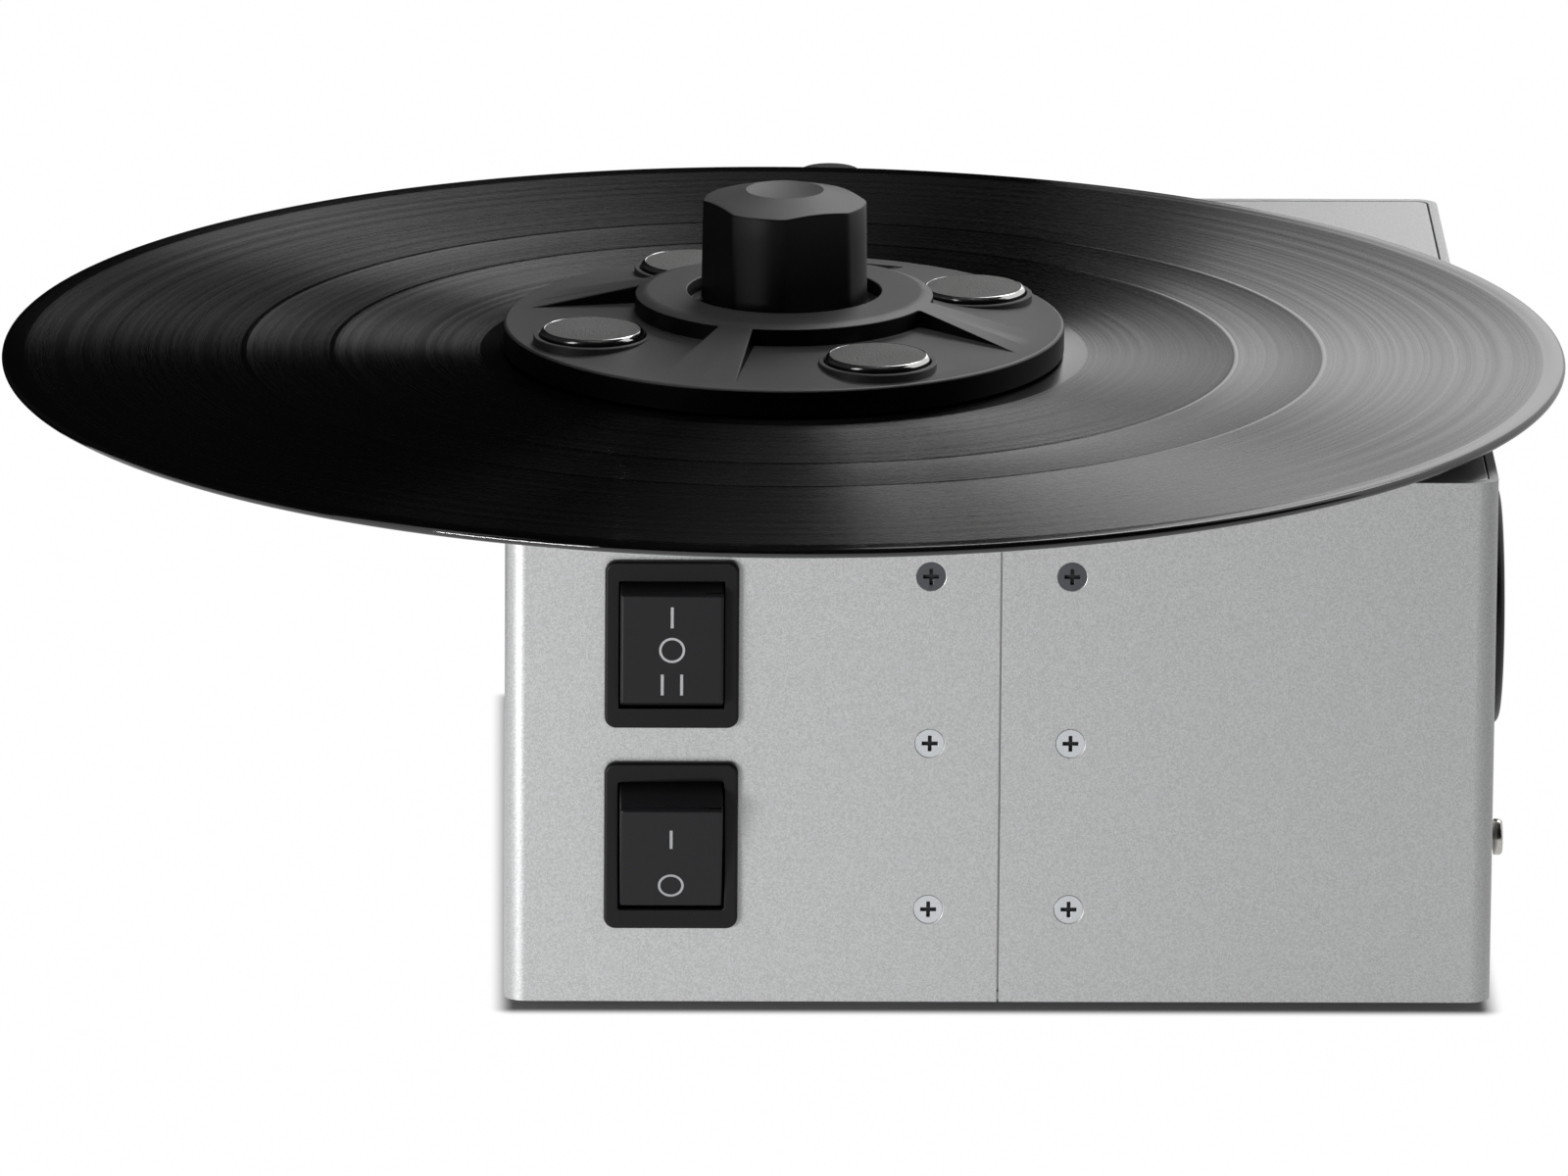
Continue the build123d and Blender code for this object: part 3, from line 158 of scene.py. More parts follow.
class Graph:
    """A material's or a world's node tree, with one method for any node."""

    def __init__(self, name: str, world: bool = False) -> None:
        """Start an empty material, or an empty world, with its output node."""
        self.owner = (bpy.data.worlds if world else bpy.data.materials).new(name)
        self.owner.use_nodes = True
        self.tree = self.owner.node_tree
        self.tree.nodes.clear()
        self.output = self.tree.nodes.new("ShaderNodeOutput" + ("World" if world else "Material"))

    def node(self, kind: str, settings: dict | None = None, values: dict | None = None,
             output: int | str = 0) -> Signal:
        """Add any node.

        Args:
            kind: The node's type.
            settings: Attributes that are set before its sockets.
            values: Numbers, colours or Signals for its input sockets, by name or index.
            output: Which output socket to hand back.

        Returns:
            The chosen output as a Signal.
        """
        made = self.tree.nodes.new(kind)
        for key, value in (settings or {}).items():
            setattr(made, key, value)
        for key, value in (values or {}).items():
            socket = made.inputs[key]
            if isinstance(value, Signal):
                self.tree.links.new(value.socket, socket)
            elif isinstance(value, tuple) and socket.type == "RGBA":
                socket.default_value = (*value[:3], 1.0)
            else:
                socket.default_value = value
        return Signal(self, made.outputs[output])

    def math(self, operation: str, *terms: Signal | float) -> Signal:
        """Add one Math node whose inputs are signals or numbers."""
        return self.node("ShaderNodeMath", {"operation": operation}, dict(enumerate(terms)))

    def place(self) -> Signal:
        """The point on the piece, in the frame."""
        return self.node("ShaderNodeTexCoord", output="Object")

    def noise(self, scale: float, detail: float = 2.0, vector: Signal | None = None,
              roughness: float = 0.5) -> Signal:
        """Add noise between 0 and 1.

        Args:
            scale: Cells per metre.
            detail: How many finer layers it has.
            vector: Where it is read, the piece's own points if None.
            roughness: How strong the finer layers are.

        Returns:
            The noise.
        """
        values = {"Vector": vector or self.place(), "Scale": scale, "Detail": detail,
                  "Roughness": roughness}
        return self.node("ShaderNodeTexNoise", None, values)

    def blend(self, amount: Signal | float, low: Colour | Signal, high: Colour | Signal) -> Signal:
        """Mix two colours."""
        settings = {"data_type": "RGBA", "blend_type": "MIX"}
        return self.node("ShaderNodeMix", settings, {0: amount, 6: low, 7: high}, output=2)

    def uneven(self, tone: Signal, colour: Colour, share: float) -> Signal:
        """Make a colour darker and lighter by a share."""
        return self.blend(tone, shaded(colour, 1 - share), shaded(colour, 1 + share))

    def vector(self, operation: str, *terms: Signal | tuple, output: int | str = 0) -> Signal:
        """Add one Vector Math node."""
        return self.node("ShaderNodeVectorMath", {"operation": operation}, dict(enumerate(terms)),
                         output)

    def bump(self, height: Signal, depth: float, strength: float = 1.0) -> Signal:
        """Bump whose full height is depth metres."""
        return self.node("ShaderNodeBump", None,
                         {"Height": height, "Distance": depth, "Strength": strength})

    def close(self, shader: Signal) -> Material | bpy.types.World:
        """Finish the material or world with a shader."""
        self.tree.links.new(shader.socket, self.output.inputs["Surface"])
        return self.owner

    def surface(self, **values: object) -> Material:
        """Finish the material with one Principled surface, its sockets given as keywords."""
        names = {key.replace("_", " ").title().replace("Ior", "IOR"): value
                 for key, value in values.items()}
        return self.close(self.node("ShaderNodeBsdfPrincipled", None, names))

    def glow(self, tone: Signal | Colour) -> Signal:
        """Light of its own, as bright as its tone."""
        return self.node("ShaderNodeEmission", None, {"Color": tone, "Strength": 1.0})

    def matt(self, tone: Signal | Colour) -> Signal:
        """A plain matt surface."""
        return self.node("ShaderNodeBsdfDiffuse", None, {"Color": tone})

    def seen(self, mirrored: Signal | float = 1.0) -> Signal:
        """1 to the camera, mirrored in reflections and through glass, 0 to every other ray."""
        camera = self.node("ShaderNodeLightPath", output="Is Camera Ray")
        glossy, clear = (Signal(self, camera.socket.node.outputs[ray])
                         for ray in ("Is Glossy Ray", "Is Transmission Ray"))
        return self.math("MAXIMUM", camera, self.math("MAXIMUM", glossy, clear) * mirrored)


@dataclass(frozen=True)
class Moulded:
    """A moulded or cast surface: fine grain of a depth in micrometres, slight unevenness."""

    name: str
    colour: Colour
    roughness: float = 0.5
    grain: float = 2500.0
    depth: float = 20
    variation: float = 0.15
    metallic: float = 0.0
    ior: float = 1.5
    cloud_scale: float = 45.0
    gloss_variation: float = 0.12

    def build(self) -> Material:
        """Make the material."""
        graph = Graph(self.name)
        grain = graph.noise(self.grain, 3.0)
        cloud = graph.noise(self.cloud_scale, 2.0)
        return graph.surface(
            base_color=graph.uneven(grain * 0.5 + cloud * 0.5, self.colour, self.variation),
            roughness=(cloud - 0.5) * self.gloss_variation + self.roughness,
            metallic=self.metallic,
            ior=self.ior,
            normal=graph.bump(grain, self.depth * MICRON))


@dataclass(frozen=True)
class SilverCoat:
    """Fine metallic silver coat with tiny bright and dark flakes."""

    name: str = "silver_coat"
    colour: Colour = (0.60, 0.605, 0.61)
    flake_scale: float = 5200.0
    flake_contrast: float = 0.26
    fine_share: float = 0.65
    cloud_scale: float = 9.0
    cloud_share: float = 0.15
    roughness: float = 0.42
    gloss_variation: float = 0.2
    metallic: float = 0.55
    bump_depth: float = 8 * MICRON
    bump_strength: float = 0.8

    def build(self) -> Material:
        """Make the material."""
        graph = Graph(self.name)
        fine = graph.noise(self.flake_scale, 2.0, roughness=0.7)
        broad = graph.noise(self.flake_scale / 2, 1.0)
        cloud = graph.noise(self.cloud_scale, 2.0)
        flake = fine.stretched() * self.fine_share + broad.stretched() * (1 - self.fine_share)
        tone = flake * (1 - self.cloud_share) + cloud * self.cloud_share
        return graph.surface(
            base_color=graph.uneven(tone, self.colour, self.flake_contrast),
            roughness=self.roughness + (flake - 0.5) * self.gloss_variation,
            metallic=self.metallic,
            normal=graph.bump(flake, self.bump_depth, self.bump_strength))


@dataclass(frozen=True)
class Vinyl:
    """Pressed vinyl: loud and quiet bands of groove, smooth rings between them, a paper label.

    The sheen is stretched across the grooves, and fine rings tilt it in and out.
    """

    name: str
    centre: Point
    zones: Pressing = Pressing()
    colour: Colour = (0.002, 0.002, 0.0022)
    label_colour: Colour = (0.30, 0.29, 0.27)
    label_shade: float = 0.8
    label_roughness: float = 0.3
    paper_scale: float = 900.0
    band_scale: float = 420.0
    line_scale: float = 1300.0
    steep: float = 0.06
    roughness: float = 0.14
    groove_roughness: float = 0.08
    loud_roughness: float = 0.10
    stretch: float = 1.0
    stretch_turn: float = 0.25
    ior: float = 1.72
    soft: float = 0.2 * MM
    groove_soft: float = 0.3 * MM

    def build(self) -> Material:
        """Make the material."""
        graph, zones = Graph(self.name), self.zones
        local = graph.vector("SUBTRACT", graph.place(), (*self.centre, 0.0))
        flat = graph.vector("MULTIPLY", local, (1.0, 1.0, 0.0))
        radius = graph.vector("LENGTH", flat, output="Value")
        outward = graph.vector("NORMALIZE", flat)
        cut = radius.band(zones.groove_start, zones.groove_end, self.groove_soft)
        half = zones.gap_width / 2
        for gap in zones.gaps:
            cut = cut * (1 - radius.band(gap - half, gap + half, self.soft))
        ring = graph.node("ShaderNodeCombineXYZ", None, {"X": radius})
        loudness = graph.noise(self.band_scale, 5.0, ring, 0.8).stretched()
        slope = (graph.noise(self.line_scale, 1.5, ring, 0.6) - 0.5) * cut * self.steep
        slopes = graph.node("ShaderNodeCombineXYZ", None, {axis: slope for axis in "XYZ"})
        tilt = graph.vector("MULTIPLY", outward, slopes)
        own = graph.node("ShaderNodeTexCoord", output="Normal")
        bent = graph.vector("NORMALIZE", graph.vector("ADD", own, tilt))
        settings = {"vector_type": "NORMAL", "convert_from": "OBJECT", "convert_to": "WORLD"}
        world = graph.node("ShaderNodeVectorTransform", settings, {"Vector": bent})
        label = 1 - radius.step(zones.label - self.soft, zones.label + self.soft)
        paper = graph.blend(graph.noise(self.paper_scale, 3.0),
                            shaded(self.label_colour, self.label_shade), self.label_colour)
        groove = cut * (loudness * self.loud_roughness + self.groove_roughness)
        return graph.surface(
            base_color=graph.blend(label, self.colour, paper),
            roughness=groove + label * self.label_roughness + self.roughness,
            anisotropic=self.stretch,
            anisotropic_rotation=self.stretch_turn,
            ior=self.ior,
            normal=world)


@dataclass(frozen=True)
class PaleFloor:
    """A pale floor seen as white, that keeps the soft shadow close to the case.

    In reflections it darkens towards the right, over dim_span and by dim_share.
    """

    name: str
    centre: Point
    half: Point
    colour: Colour = (0.55, 0.55, 0.55)
    speck_scale: float = 30.0
    speck_shade: float = 0.985
    white_share: float = 0.997
    reach: float = 5.0 * MM
    dim_span: Point = (-0.10, 0.30)
    dim_share: float = 0.45

    def build(self) -> Material:
        """Make the material."""
        graph = Graph(self.name)
        tone = graph.blend(graph.noise(self.speck_scale, 2.0),
                           shaded(self.colour, self.speck_shade), self.colour)
        local = graph.vector("SUBTRACT", graph.place(), (*self.centre, 0.0))
        past = graph.vector("SUBTRACT", graph.vector("ABSOLUTE", local), (*self.half, 1.0))
        beyond = graph.vector("MAXIMUM", past, (0.0, 0.0, 0.0))
        away = graph.vector("LENGTH", beyond, output="Value")
        share = away.step(0.0, self.reach) * self.white_share
        across = graph.node("ShaderNodeSeparateXYZ", None, {"Vector": graph.place()})
        dim = 1 - across.step(*self.dim_span) * self.dim_share
        return graph.close(graph.node("ShaderNodeMixShader", None, {
            0: graph.seen(dim) * share, 1: graph.matt(tone), 2: graph.glow((1.0, 1.0, 1.0))}))


# ---------------------------------------------------------------- mesh helpers
def linked(name: str, data: bpy.types.ID) -> Piece:
    """Put a mesh, camera or light in the scene as an object."""
    made = bpy.data.objects.new(name, data)
    bpy.context.scene.collection.objects.link(made)
    return made


def object_of(name: str, bm: Draft, material: Material, smooth_angle: float = 30.0) -> Piece:
    """Turn a bmesh into a shown object with smooth shading up to an angle.

    Args:
        name: The piece's name.
        bm: The mesh, which is freed.
        material: Its finish.
        smooth_angle: Edges sharper than this stay sharp, in degrees.

    Returns:
        The new object, at the origin.
    """
    mesh = bpy.data.meshes.new(name)
    bm.to_mesh(mesh)
    bm.free()
    piece = linked(name, mesh)
    mesh.materials.append(material)
    shade(piece, smooth_angle)
    return piece


def shade(piece: Piece, smooth_angle: float = 30.0) -> None:
    """Shade a piece smooth, with its sharp edges kept."""
    piece.data.polygons.foreach_set("use_smooth", [True] * len(piece.data.polygons))
    piece.data.set_sharp_from_angle(angle=math.radians(smooth_angle))


def baked(piece: Piece) -> Piece:
    """Bake a piece's modifiers into its mesh and drop them."""
    graph = bpy.context.evaluated_depsgraph_get()
    mesh = bpy.data.meshes.new_from_object(piece.evaluated_get(graph))
    piece.modifiers.clear()
    piece.data = mesh
    return piece


def bevelled(piece: Piece, width: float, segments: int, angle: float = 32.0) -> Piece:
    """Round a piece's sharp edges and keep its flat faces evenly shaded.

    Args:
        piece: The piece, which is changed.
        width: Radius of the rounded edges, in metres.
        segments: Steps in each rounded edge.
        angle: Edges sharper than this are rounded, in degrees.

    Returns:
        The same piece.
    """
    bevel = piece.modifiers.new("edge", "BEVEL")
    bevel.width = width
    bevel.segments = segments
    bevel.limit_method = "ANGLE"
    bevel.angle_limit = math.radians(angle)
    bevel.miter_outer = "MITER_ARC"
    bevel.use_clamp_overlap = True
    even = piece.modifiers.new("even", "WEIGHTED_NORMAL")
    even.mode = "FACE_AREA"
    even.weight = EVEN_WEIGHT
    even.keep_sharp = False
    for polygon in piece.data.polygons:
        polygon.use_smooth = True
    return baked(piece)


def copied(node: Piece, name: str, material: Material, edge: float, segments: int) -> Piece:
    """Make a dressed copy of a CAD node: merged, its flat faces joined, its edges rounded.

    Args:
        node: The CAD node's object.
        name: The new piece's name.
        material: Its finish.
        edge: Radius of the rounded edges, in metres.
        segments: Steps in each rounded edge.

    Returns:
        The new piece.
    """
    bm = bmesh.new()
    bm.from_mesh(node.data)
    bmesh.ops.remove_doubles(bm, verts=bm.verts, dist=MERGE_REACH)
    bmesh.ops.dissolve_limit(bm, angle_limit=FLAT_ANGLE, verts=bm.verts, edges=bm.edges)
    piece = object_of(name, bm, material)
    return bevelled(piece, edge, segments) if edge else piece


def join_rings(bm: Draft, low: list[Vert], high: list[Vert]) -> None:
    """Fill the band between two rings of points, either of which may be one pole."""
    steps = max(len(low), len(high))
    for step in range(steps if steps > 1 else 0):
        after = (step + 1) % steps
        corners = (low[step % len(low)], low[after % len(low)],
                   high[after % len(high)], high[step % len(high)])
        bm.faces.new(list(dict.fromkeys(corners)))


def islands(bm: Draft) -> Iterator[list[Face]]:
    """Each group of faces that hang together."""
    waiting = set(bm.faces)
    while waiting:
        stack = [waiting.pop()]
        group = list(stack)
        while stack:
            for edge in stack.pop().edges:
                for face in waiting.intersection(edge.link_faces):
                    waiting.remove(face)
                    stack.append(face)
                    group.append(face)
        yield group


def revolved(profile: Sequence[Point], steps: int, centre: Spot) -> Draft:
    """Turn a profile of (radius, height) points about the upright axis through centre.

    Args:
        profile: Points from the axis or a bore, round the outside, and back.
        steps: Number of steps round the axis.
        centre: The axis' foot.

    Returns:
        A closed mesh: points on the axis become poles, other open ends are joined.
    """
    bm = bmesh.new()
    rings = []
    for radius, height in profile:
        turns = turns_of(steps) if radius > ON_AXIS else [0.0]
        rings.append([bm.verts.new(about(centre, turn, radius, height)) for turn in turns])
    if profile[0][0] > ON_AXIS:
        rings.append(rings[0])
    for low, high in zip(rings, rings[1:]):
        join_rings(bm, low, high)
    bmesh.ops.recalc_face_normals(bm, faces=bm.faces)
    return bm


def arc(centre: Point, radius: float, start: float, end: float, steps: int) -> list[Point]:
    """Points along an arc, angles in degrees."""
    turns = [math.radians(start + (end - start) * step / steps) for step in range(steps + 1)]
    return [(centre[0] + radius * math.cos(turn), centre[1] + radius * math.sin(turn))
            for turn in turns]


def placed_everywhere(name: str, shape: Piece, spots: Sequence[Spot],
                      material: Material) -> Piece:
    """Repeat a shape at many spots with Geometry Nodes, as one plain mesh.

    Args:
        name: The new piece's name.
        shape: The shape, made about the origin.
        spots: Where its copies go.
        material: The finish that is set on all of them.

    Returns:
        The new piece, with its modifier removed.
    """
    mesh = bpy.data.meshes.new(name)
    mesh.from_pydata(spots, [], [])
    piece = linked(name, mesh)
    tree = bpy.data.node_groups.new(name, "GeometryNodeTree")
    for way in ("INPUT", "OUTPUT"):
        tree.interface.new_socket("Geometry", in_out=way, socket_type="NodeSocketGeometry")
    shape_input = tree.interface.new_socket("Shape", in_out="INPUT", socket_type="NodeSocketObject")
    entry, leave = tree.nodes.new("NodeGroupInput"), tree.nodes.new("NodeGroupOutput")
    points, source, repeat, real, finish = (tree.nodes.new("GeometryNode" + kind) for kind in (
        "MeshToPoints", "ObjectInfo", "InstanceOnPoints", "RealizeInstances", "SetMaterial"))
    finish.inputs["Material"].default_value = material
    for origin, target in (
            (entry.outputs["Geometry"], points.inputs["Mesh"]),
            (points.outputs["Points"], repeat.inputs["Points"]),
            (entry.outputs["Shape"], source.inputs["Object"]),
            (source.outputs["Geometry"], repeat.inputs["Instance"]),
            (repeat.outputs["Instances"], real.inputs["Geometry"]),
            (real.outputs["Geometry"], finish.inputs["Geometry"]),
            (finish.outputs["Geometry"], leave.inputs["Geometry"])):
        tree.links.new(origin, target)
    modifier = piece.modifiers.new("repeat", "NODES")
    modifier.node_group = tree
    modifier[shape_input.identifier] = shape
    shade(baked(piece))
    bpy.data.objects.remove(shape)
    return piece


# ---------------------------------------------------------------- sub-assemblies
@dataclass
class Finishes:
    """Every material of the machine, built once."""

    spindle: Point
    made: dict[str, Material] = field(default_factory=dict)

    def build(self) -> None:
        """Make all the materials."""
        recipes = [
            SilverCoat(),
            SilverCoat("top_coat", (0.60, 0.60, 0.61), roughness=0.40),
            Vinyl("vinyl", self.spindle)]
        recipes += [Moulded(*values) for values in (
            # name, colour, roughness, grain, depth in micrometres, variation, metallic, ior
            ("bezel_black", (0.003, 0.003, 0.0032), 0.44, 3200.0, 12, 0.2, 0.0, 1.33),
            ("rocker_black", (0.011, 0.011, 0.0128), 0.40, 4200.0, 8, 0.2, 0.0, 1.35),
            ("print_white", (0.62, 0.63, 0.65), 0.6, 3000.0, 4, 0.06),
            ("clamp_black", (0.040, 0.040, 0.0405), 0.50, 5200.0, 6, 0.2, 0.0, 1.95),
            ("knob_black", (0.003, 0.003, 0.0032), 0.40, 5200.0, 5, 0.2, 0.0, 1.55),
            # knob_black made lighter: painted light on the knob's upward faces
            ("knob_crown", (0.075, 0.075, 0.076), 0.55, 5200.0, 5, 0.2, 0.0, 2.0),
            # clamp_black made darker, with weaker reflections: painted shade on the clamp disc's
            # side walls
            ("clamp_side", (0.003, 0.003, 0.0032), 0.45, 5200.0, 5, 0.2, 0.0, 1.25),
            ("weight_face", (0.20, 0.198, 0.195), 0.60, 2400.0, 200, 0.75, 0.4),
            ("weight_side", (0.02, 0.02, 0.02), 0.45, 2400.0, 20, 0.3, 0.5),
            # darkened zinc: painted dark reflection on the top row of screw heads
            ("zinc_dark", (0.10, 0.105, 0.115), 0.30, 2400.0, 6, 0.3, 1.0),
            # painted shade in the cross recesses of the screws
            ("recess_dark", (0.012, 0.013, 0.015), 0.5, 2400.0, 10, 0.3, 0.3),
            ("rubber_black", (0.016, 0.016, 0.016), 0.75, 2200.0, 50),
            ("cover_black", (0.006, 0.006, 0.006), 0.42, 2800.0, 10, 0.2, 0.0, 1.4),
            ("socket_black", (0.020, 0.020, 0.021), 0.62, 1500.0, 60),
            ("alloy", (0.55, 0.56, 0.57), 0.35, 900.0, 6, 0.1, 0.9),
            ("zinc", (0.62, 0.64, 0.66), 0.26, 2400.0, 6, 0.2, 1.0),
            ("nickel", (0.58, 0.56, 0.52), 0.22, 1800.0, 4, 0.12, 1.0),
            # near white: painted highlight along the right sheet's edge at the seam
            ("bare_edge", (0.95, 0.95, 0.95), 0.35, 1800.0, 4, 0.05, 0.3),
            ("bright_edge", (0.72, 0.72, 0.71), 0.14, 2400.0, 2, 0.08, 1.0),
            ("steel", (0.45, 0.45, 0.46), 0.33, 1200.0, 6, 0.15, 0.95),
            ("brass", (0.66, 0.50, 0.27), 0.28, 1800.0, 5, 0.12, 1.0),
            ("nylon", (0.80, 0.79, 0.74), 0.5, 1200.0, 20, 0.04),
            ("tank_plastic", (0.74, 0.77, 0.77), 0.45, 300.0, 60, 0.06),
            ("hose_rubber", (0.05, 0.05, 0.052), 0.55, 900.0, 30),
            ("board_green", (0.03, 0.16, 0.07), 0.4, 700.0, 20),
            ("parts_dark", (0.04, 0.04, 0.05), 0.45, 1100.0, 20),
            ("fuse_glass", (0.55, 0.60, 0.60), 0.12, 400.0, 2, 0.05))]
        for recipe in recipes:
            self.made[recipe.name] = recipe.build()

    def __getitem__(self, name: str) -> Material:
        """The material of that name."""
        return self.made[name]


@dataclass
class Assembly:
    """A group of pieces dressed from CAD nodes."""

    nodes: dict[str, Piece]
    finishes: Finishes

    def dressed(self, name: str, finish: str, edge: float, segments: int = 2) -> Piece:
        """Make the dressed copy of a node, with its edges rounded in that many segments."""
        return copied(self.nodes[name], name + "_look", self.finishes[finish], edge, segments)


@dataclass
class Case(Assembly):
    """The sheet case with its screws, feet and wall fittings."""

    edge: float = 0.35 * MM
    fine_edge: float = 0.12 * MM
    head_radius: float = 2.75 * MM
    # where the painted shade in a screw's cross recess lies
    recess_reach: float = 1.7 * MM
    recess_skin: float = 0.05 * MM
    recess_depth: float = 0.9 * MM
    # edge faces turned further sideways than this get no painted highlight
    sideways: float = 0.98

    def build(self) -> None:
        """Dress each visible piece of the case."""
        looks = (
            ("left_housing right_housing", "silver_coat", self.edge),
            ("top_plate", "top_coat", self.edge),
            ("base_plate", "alloy", 0.0),
            ("feet", "rubber_black", 0.0),
            ("exhaust_cover", "cover_black", 0.0),
            ("drain_fitting", "nickel", self.fine_edge),
            ("arm_socket", "socket_black", self.edge),
            ("mains_inlet", "bezel_black", self.fine_edge),
            ("inlet_blades", "brass", self.fine_edge),
            ("fuse_drawer", "bezel_black", self.fine_edge),
            ("front_seam_screws rear_seam_screws base_screws", "zinc", self.fine_edge),
            ("motor_switch_body vacuum_switch_body", "bezel_black", self.edge))
        bodies = {"fuse_drawer": "fuse_holder"}
        pieces = [(name, *look) for names, *look in looks for name in names.split()]
        for name, finish, edge in pieces:
            piece = self.dressed(name, finish, edge)
            if name in ("front_seam_screws", "rear_seam_screws"):
                # paints shade in the cross recesses and a dark reflection on the top row of heads
                self.shade_screws(piece)
            if name == "right_housing":
                # paints a highlight along the seam edge
                self.paint_seam_highlight(piece)
            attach(piece, bodies.get(name, "case"))
            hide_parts(name)
            LOG.info("case piece %s", name)

    def paint_seam_highlight(self, piece: Piece) -> None:
        """Paint a highlight on the right sheet's edge faces where the halves meet."""
        piece.data.materials.append(self.finishes["bare_edge"])
        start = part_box("right_housing")[0].x
        for polygon in piece.data.polygons:
            # painted highlight on the faces along the seam edge, except those turned sideways
            if polygon.center.x < start + self.edge and abs(polygon.normal.x) < self.sideways:
                polygon.material_index = 1

    def shade_screws(self, piece: Piece) -> None:
        """Paint shade into the cross recess of level screws, and a dark reflection onto the heads of
        the top row.
        """
        shades = piece.data.materials
        shades.append(self.finishes["recess_dark"])
        shades.append(self.finishes["zinc_dark"])
        bm = bmesh.new()
        bm.from_mesh(piece.data)
        top_row = max(vert.co.z for vert in bm.verts) - 2 * self.head_radius
        for screw in islands(bm):
            points = [vert.co for face in screw for vert in face.verts]
            x, z = ((min(p[axis] for p in points) + max(p[axis] for p in points)) / 2
                    for axis in (0, 2))
            outside = min if points[0].y < 0 else max
            head = outside(p.y for p in points)
            for face in screw:
                spot = face.calc_center_median()
                inside = math.hypot(spot.x - x, spot.z - z) < self.recess_reach
                # painted shade inside the cross recess
                if inside and self.recess_skin < abs(spot.y - head) < self.recess_depth:
                    face.material_index = shades.find("recess_dark")
                # painted dark reflection on the heads of the top row
                elif z > top_row:
                    face.material_index = shades.find("zinc_dark")
        bm.to_mesh(piece.data)
        bm.free()


@dataclass
class Rocker(Assembly):
    """A rocker switch key and its printed marks, set out from the key's pivot."""

    node: str
    body: str
    tilt: float
    marks: tuple[tuple[Mark, float], ...]
    face: float = 6.2 * MM
    pivot_inset: float = 1.5 * MM
    mark_height: float = 4.05 * MM
    mark_width: float = 0.55 * MM
    ring_radius: float = 2.22 * MM
    ring_line: float = 0.46 * MM
    ring_steps: int = 48
    pair_pitch: float = 3.65 * MM
    print_thick: float = 0.03 * MM
    key_edge: float = 0.35 * MM
    key_edge_steps: int = 3

    def pivot(self) -> Vector:
        """The key's pivot, from the middle of its switch body."""
        x, _, z = centre_of(self.node.replace("rocker", "switch_body"))
        return Vector((x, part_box("left_housing")[0].y + self.pivot_inset, z))

    def bar(self, bm: Draft, x: float, z: float) -> None:
        """Add one printed bar on the key's face."""
        made = bmesh.ops.create_cube(bm, size=1.0)["verts"]
        bmesh.ops.scale(bm, verts=made, vec=(self.mark_width, self.print_thick, self.mark_height))
        bmesh.ops.translate(bm, verts=made, vec=(x, -self.face - self.print_thick / 2, z))

    def ring(self, bm: Draft, z: float) -> None:
        """Add one printed ring on the key's face."""
        inner, outer = self.ring_radius - self.ring_line / 2, self.ring_radius + self.ring_line / 2
        back, front = -self.face, -self.face - self.print_thick
        loops = [[bm.verts.new((radius * math.cos(turn), depth, z + radius * math.sin(turn)))
                  for turn in turns_of(self.ring_steps)]
                 for radius, depth in ((inner, back), (inner, front),
                                       (outer, front), (outer, back))]
        for low, high in zip(loops, loops[1:] + loops[:1]):
            join_rings(bm, low, high)

    def build(self) -> None:
        """Dress the key and print its marks."""
        key = self.dressed(self.node, "rocker_black", self.key_edge, self.key_edge_steps)
        ride_body = self.body
        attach(key, ride_body)
        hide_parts(self.node)
        bm = bmesh.new()
        for mark, z in self.marks:
            if mark is Mark.RING:
                self.ring(bm, z)
            elif mark is Mark.BAR:
                self.bar(bm, 0.0, z)
            else:
                self.bar(bm, -self.pair_pitch / 2, z)
                self.bar(bm, self.pair_pitch / 2, z)
        bmesh.ops.recalc_face_normals(bm, faces=bm.faces)
        turn = Matrix.Translation(self.pivot()) @ Matrix.Rotation(math.radians(self.tilt), 4, "X")
        bmesh.ops.transform(bm, matrix=turn, verts=bm.verts)
        marks = object_of(self.node + "_marks", bm, self.finishes["print_white"])
        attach(marks, ride_body)
        LOG.info("key %s with %d marks", self.node, len(self.marks))


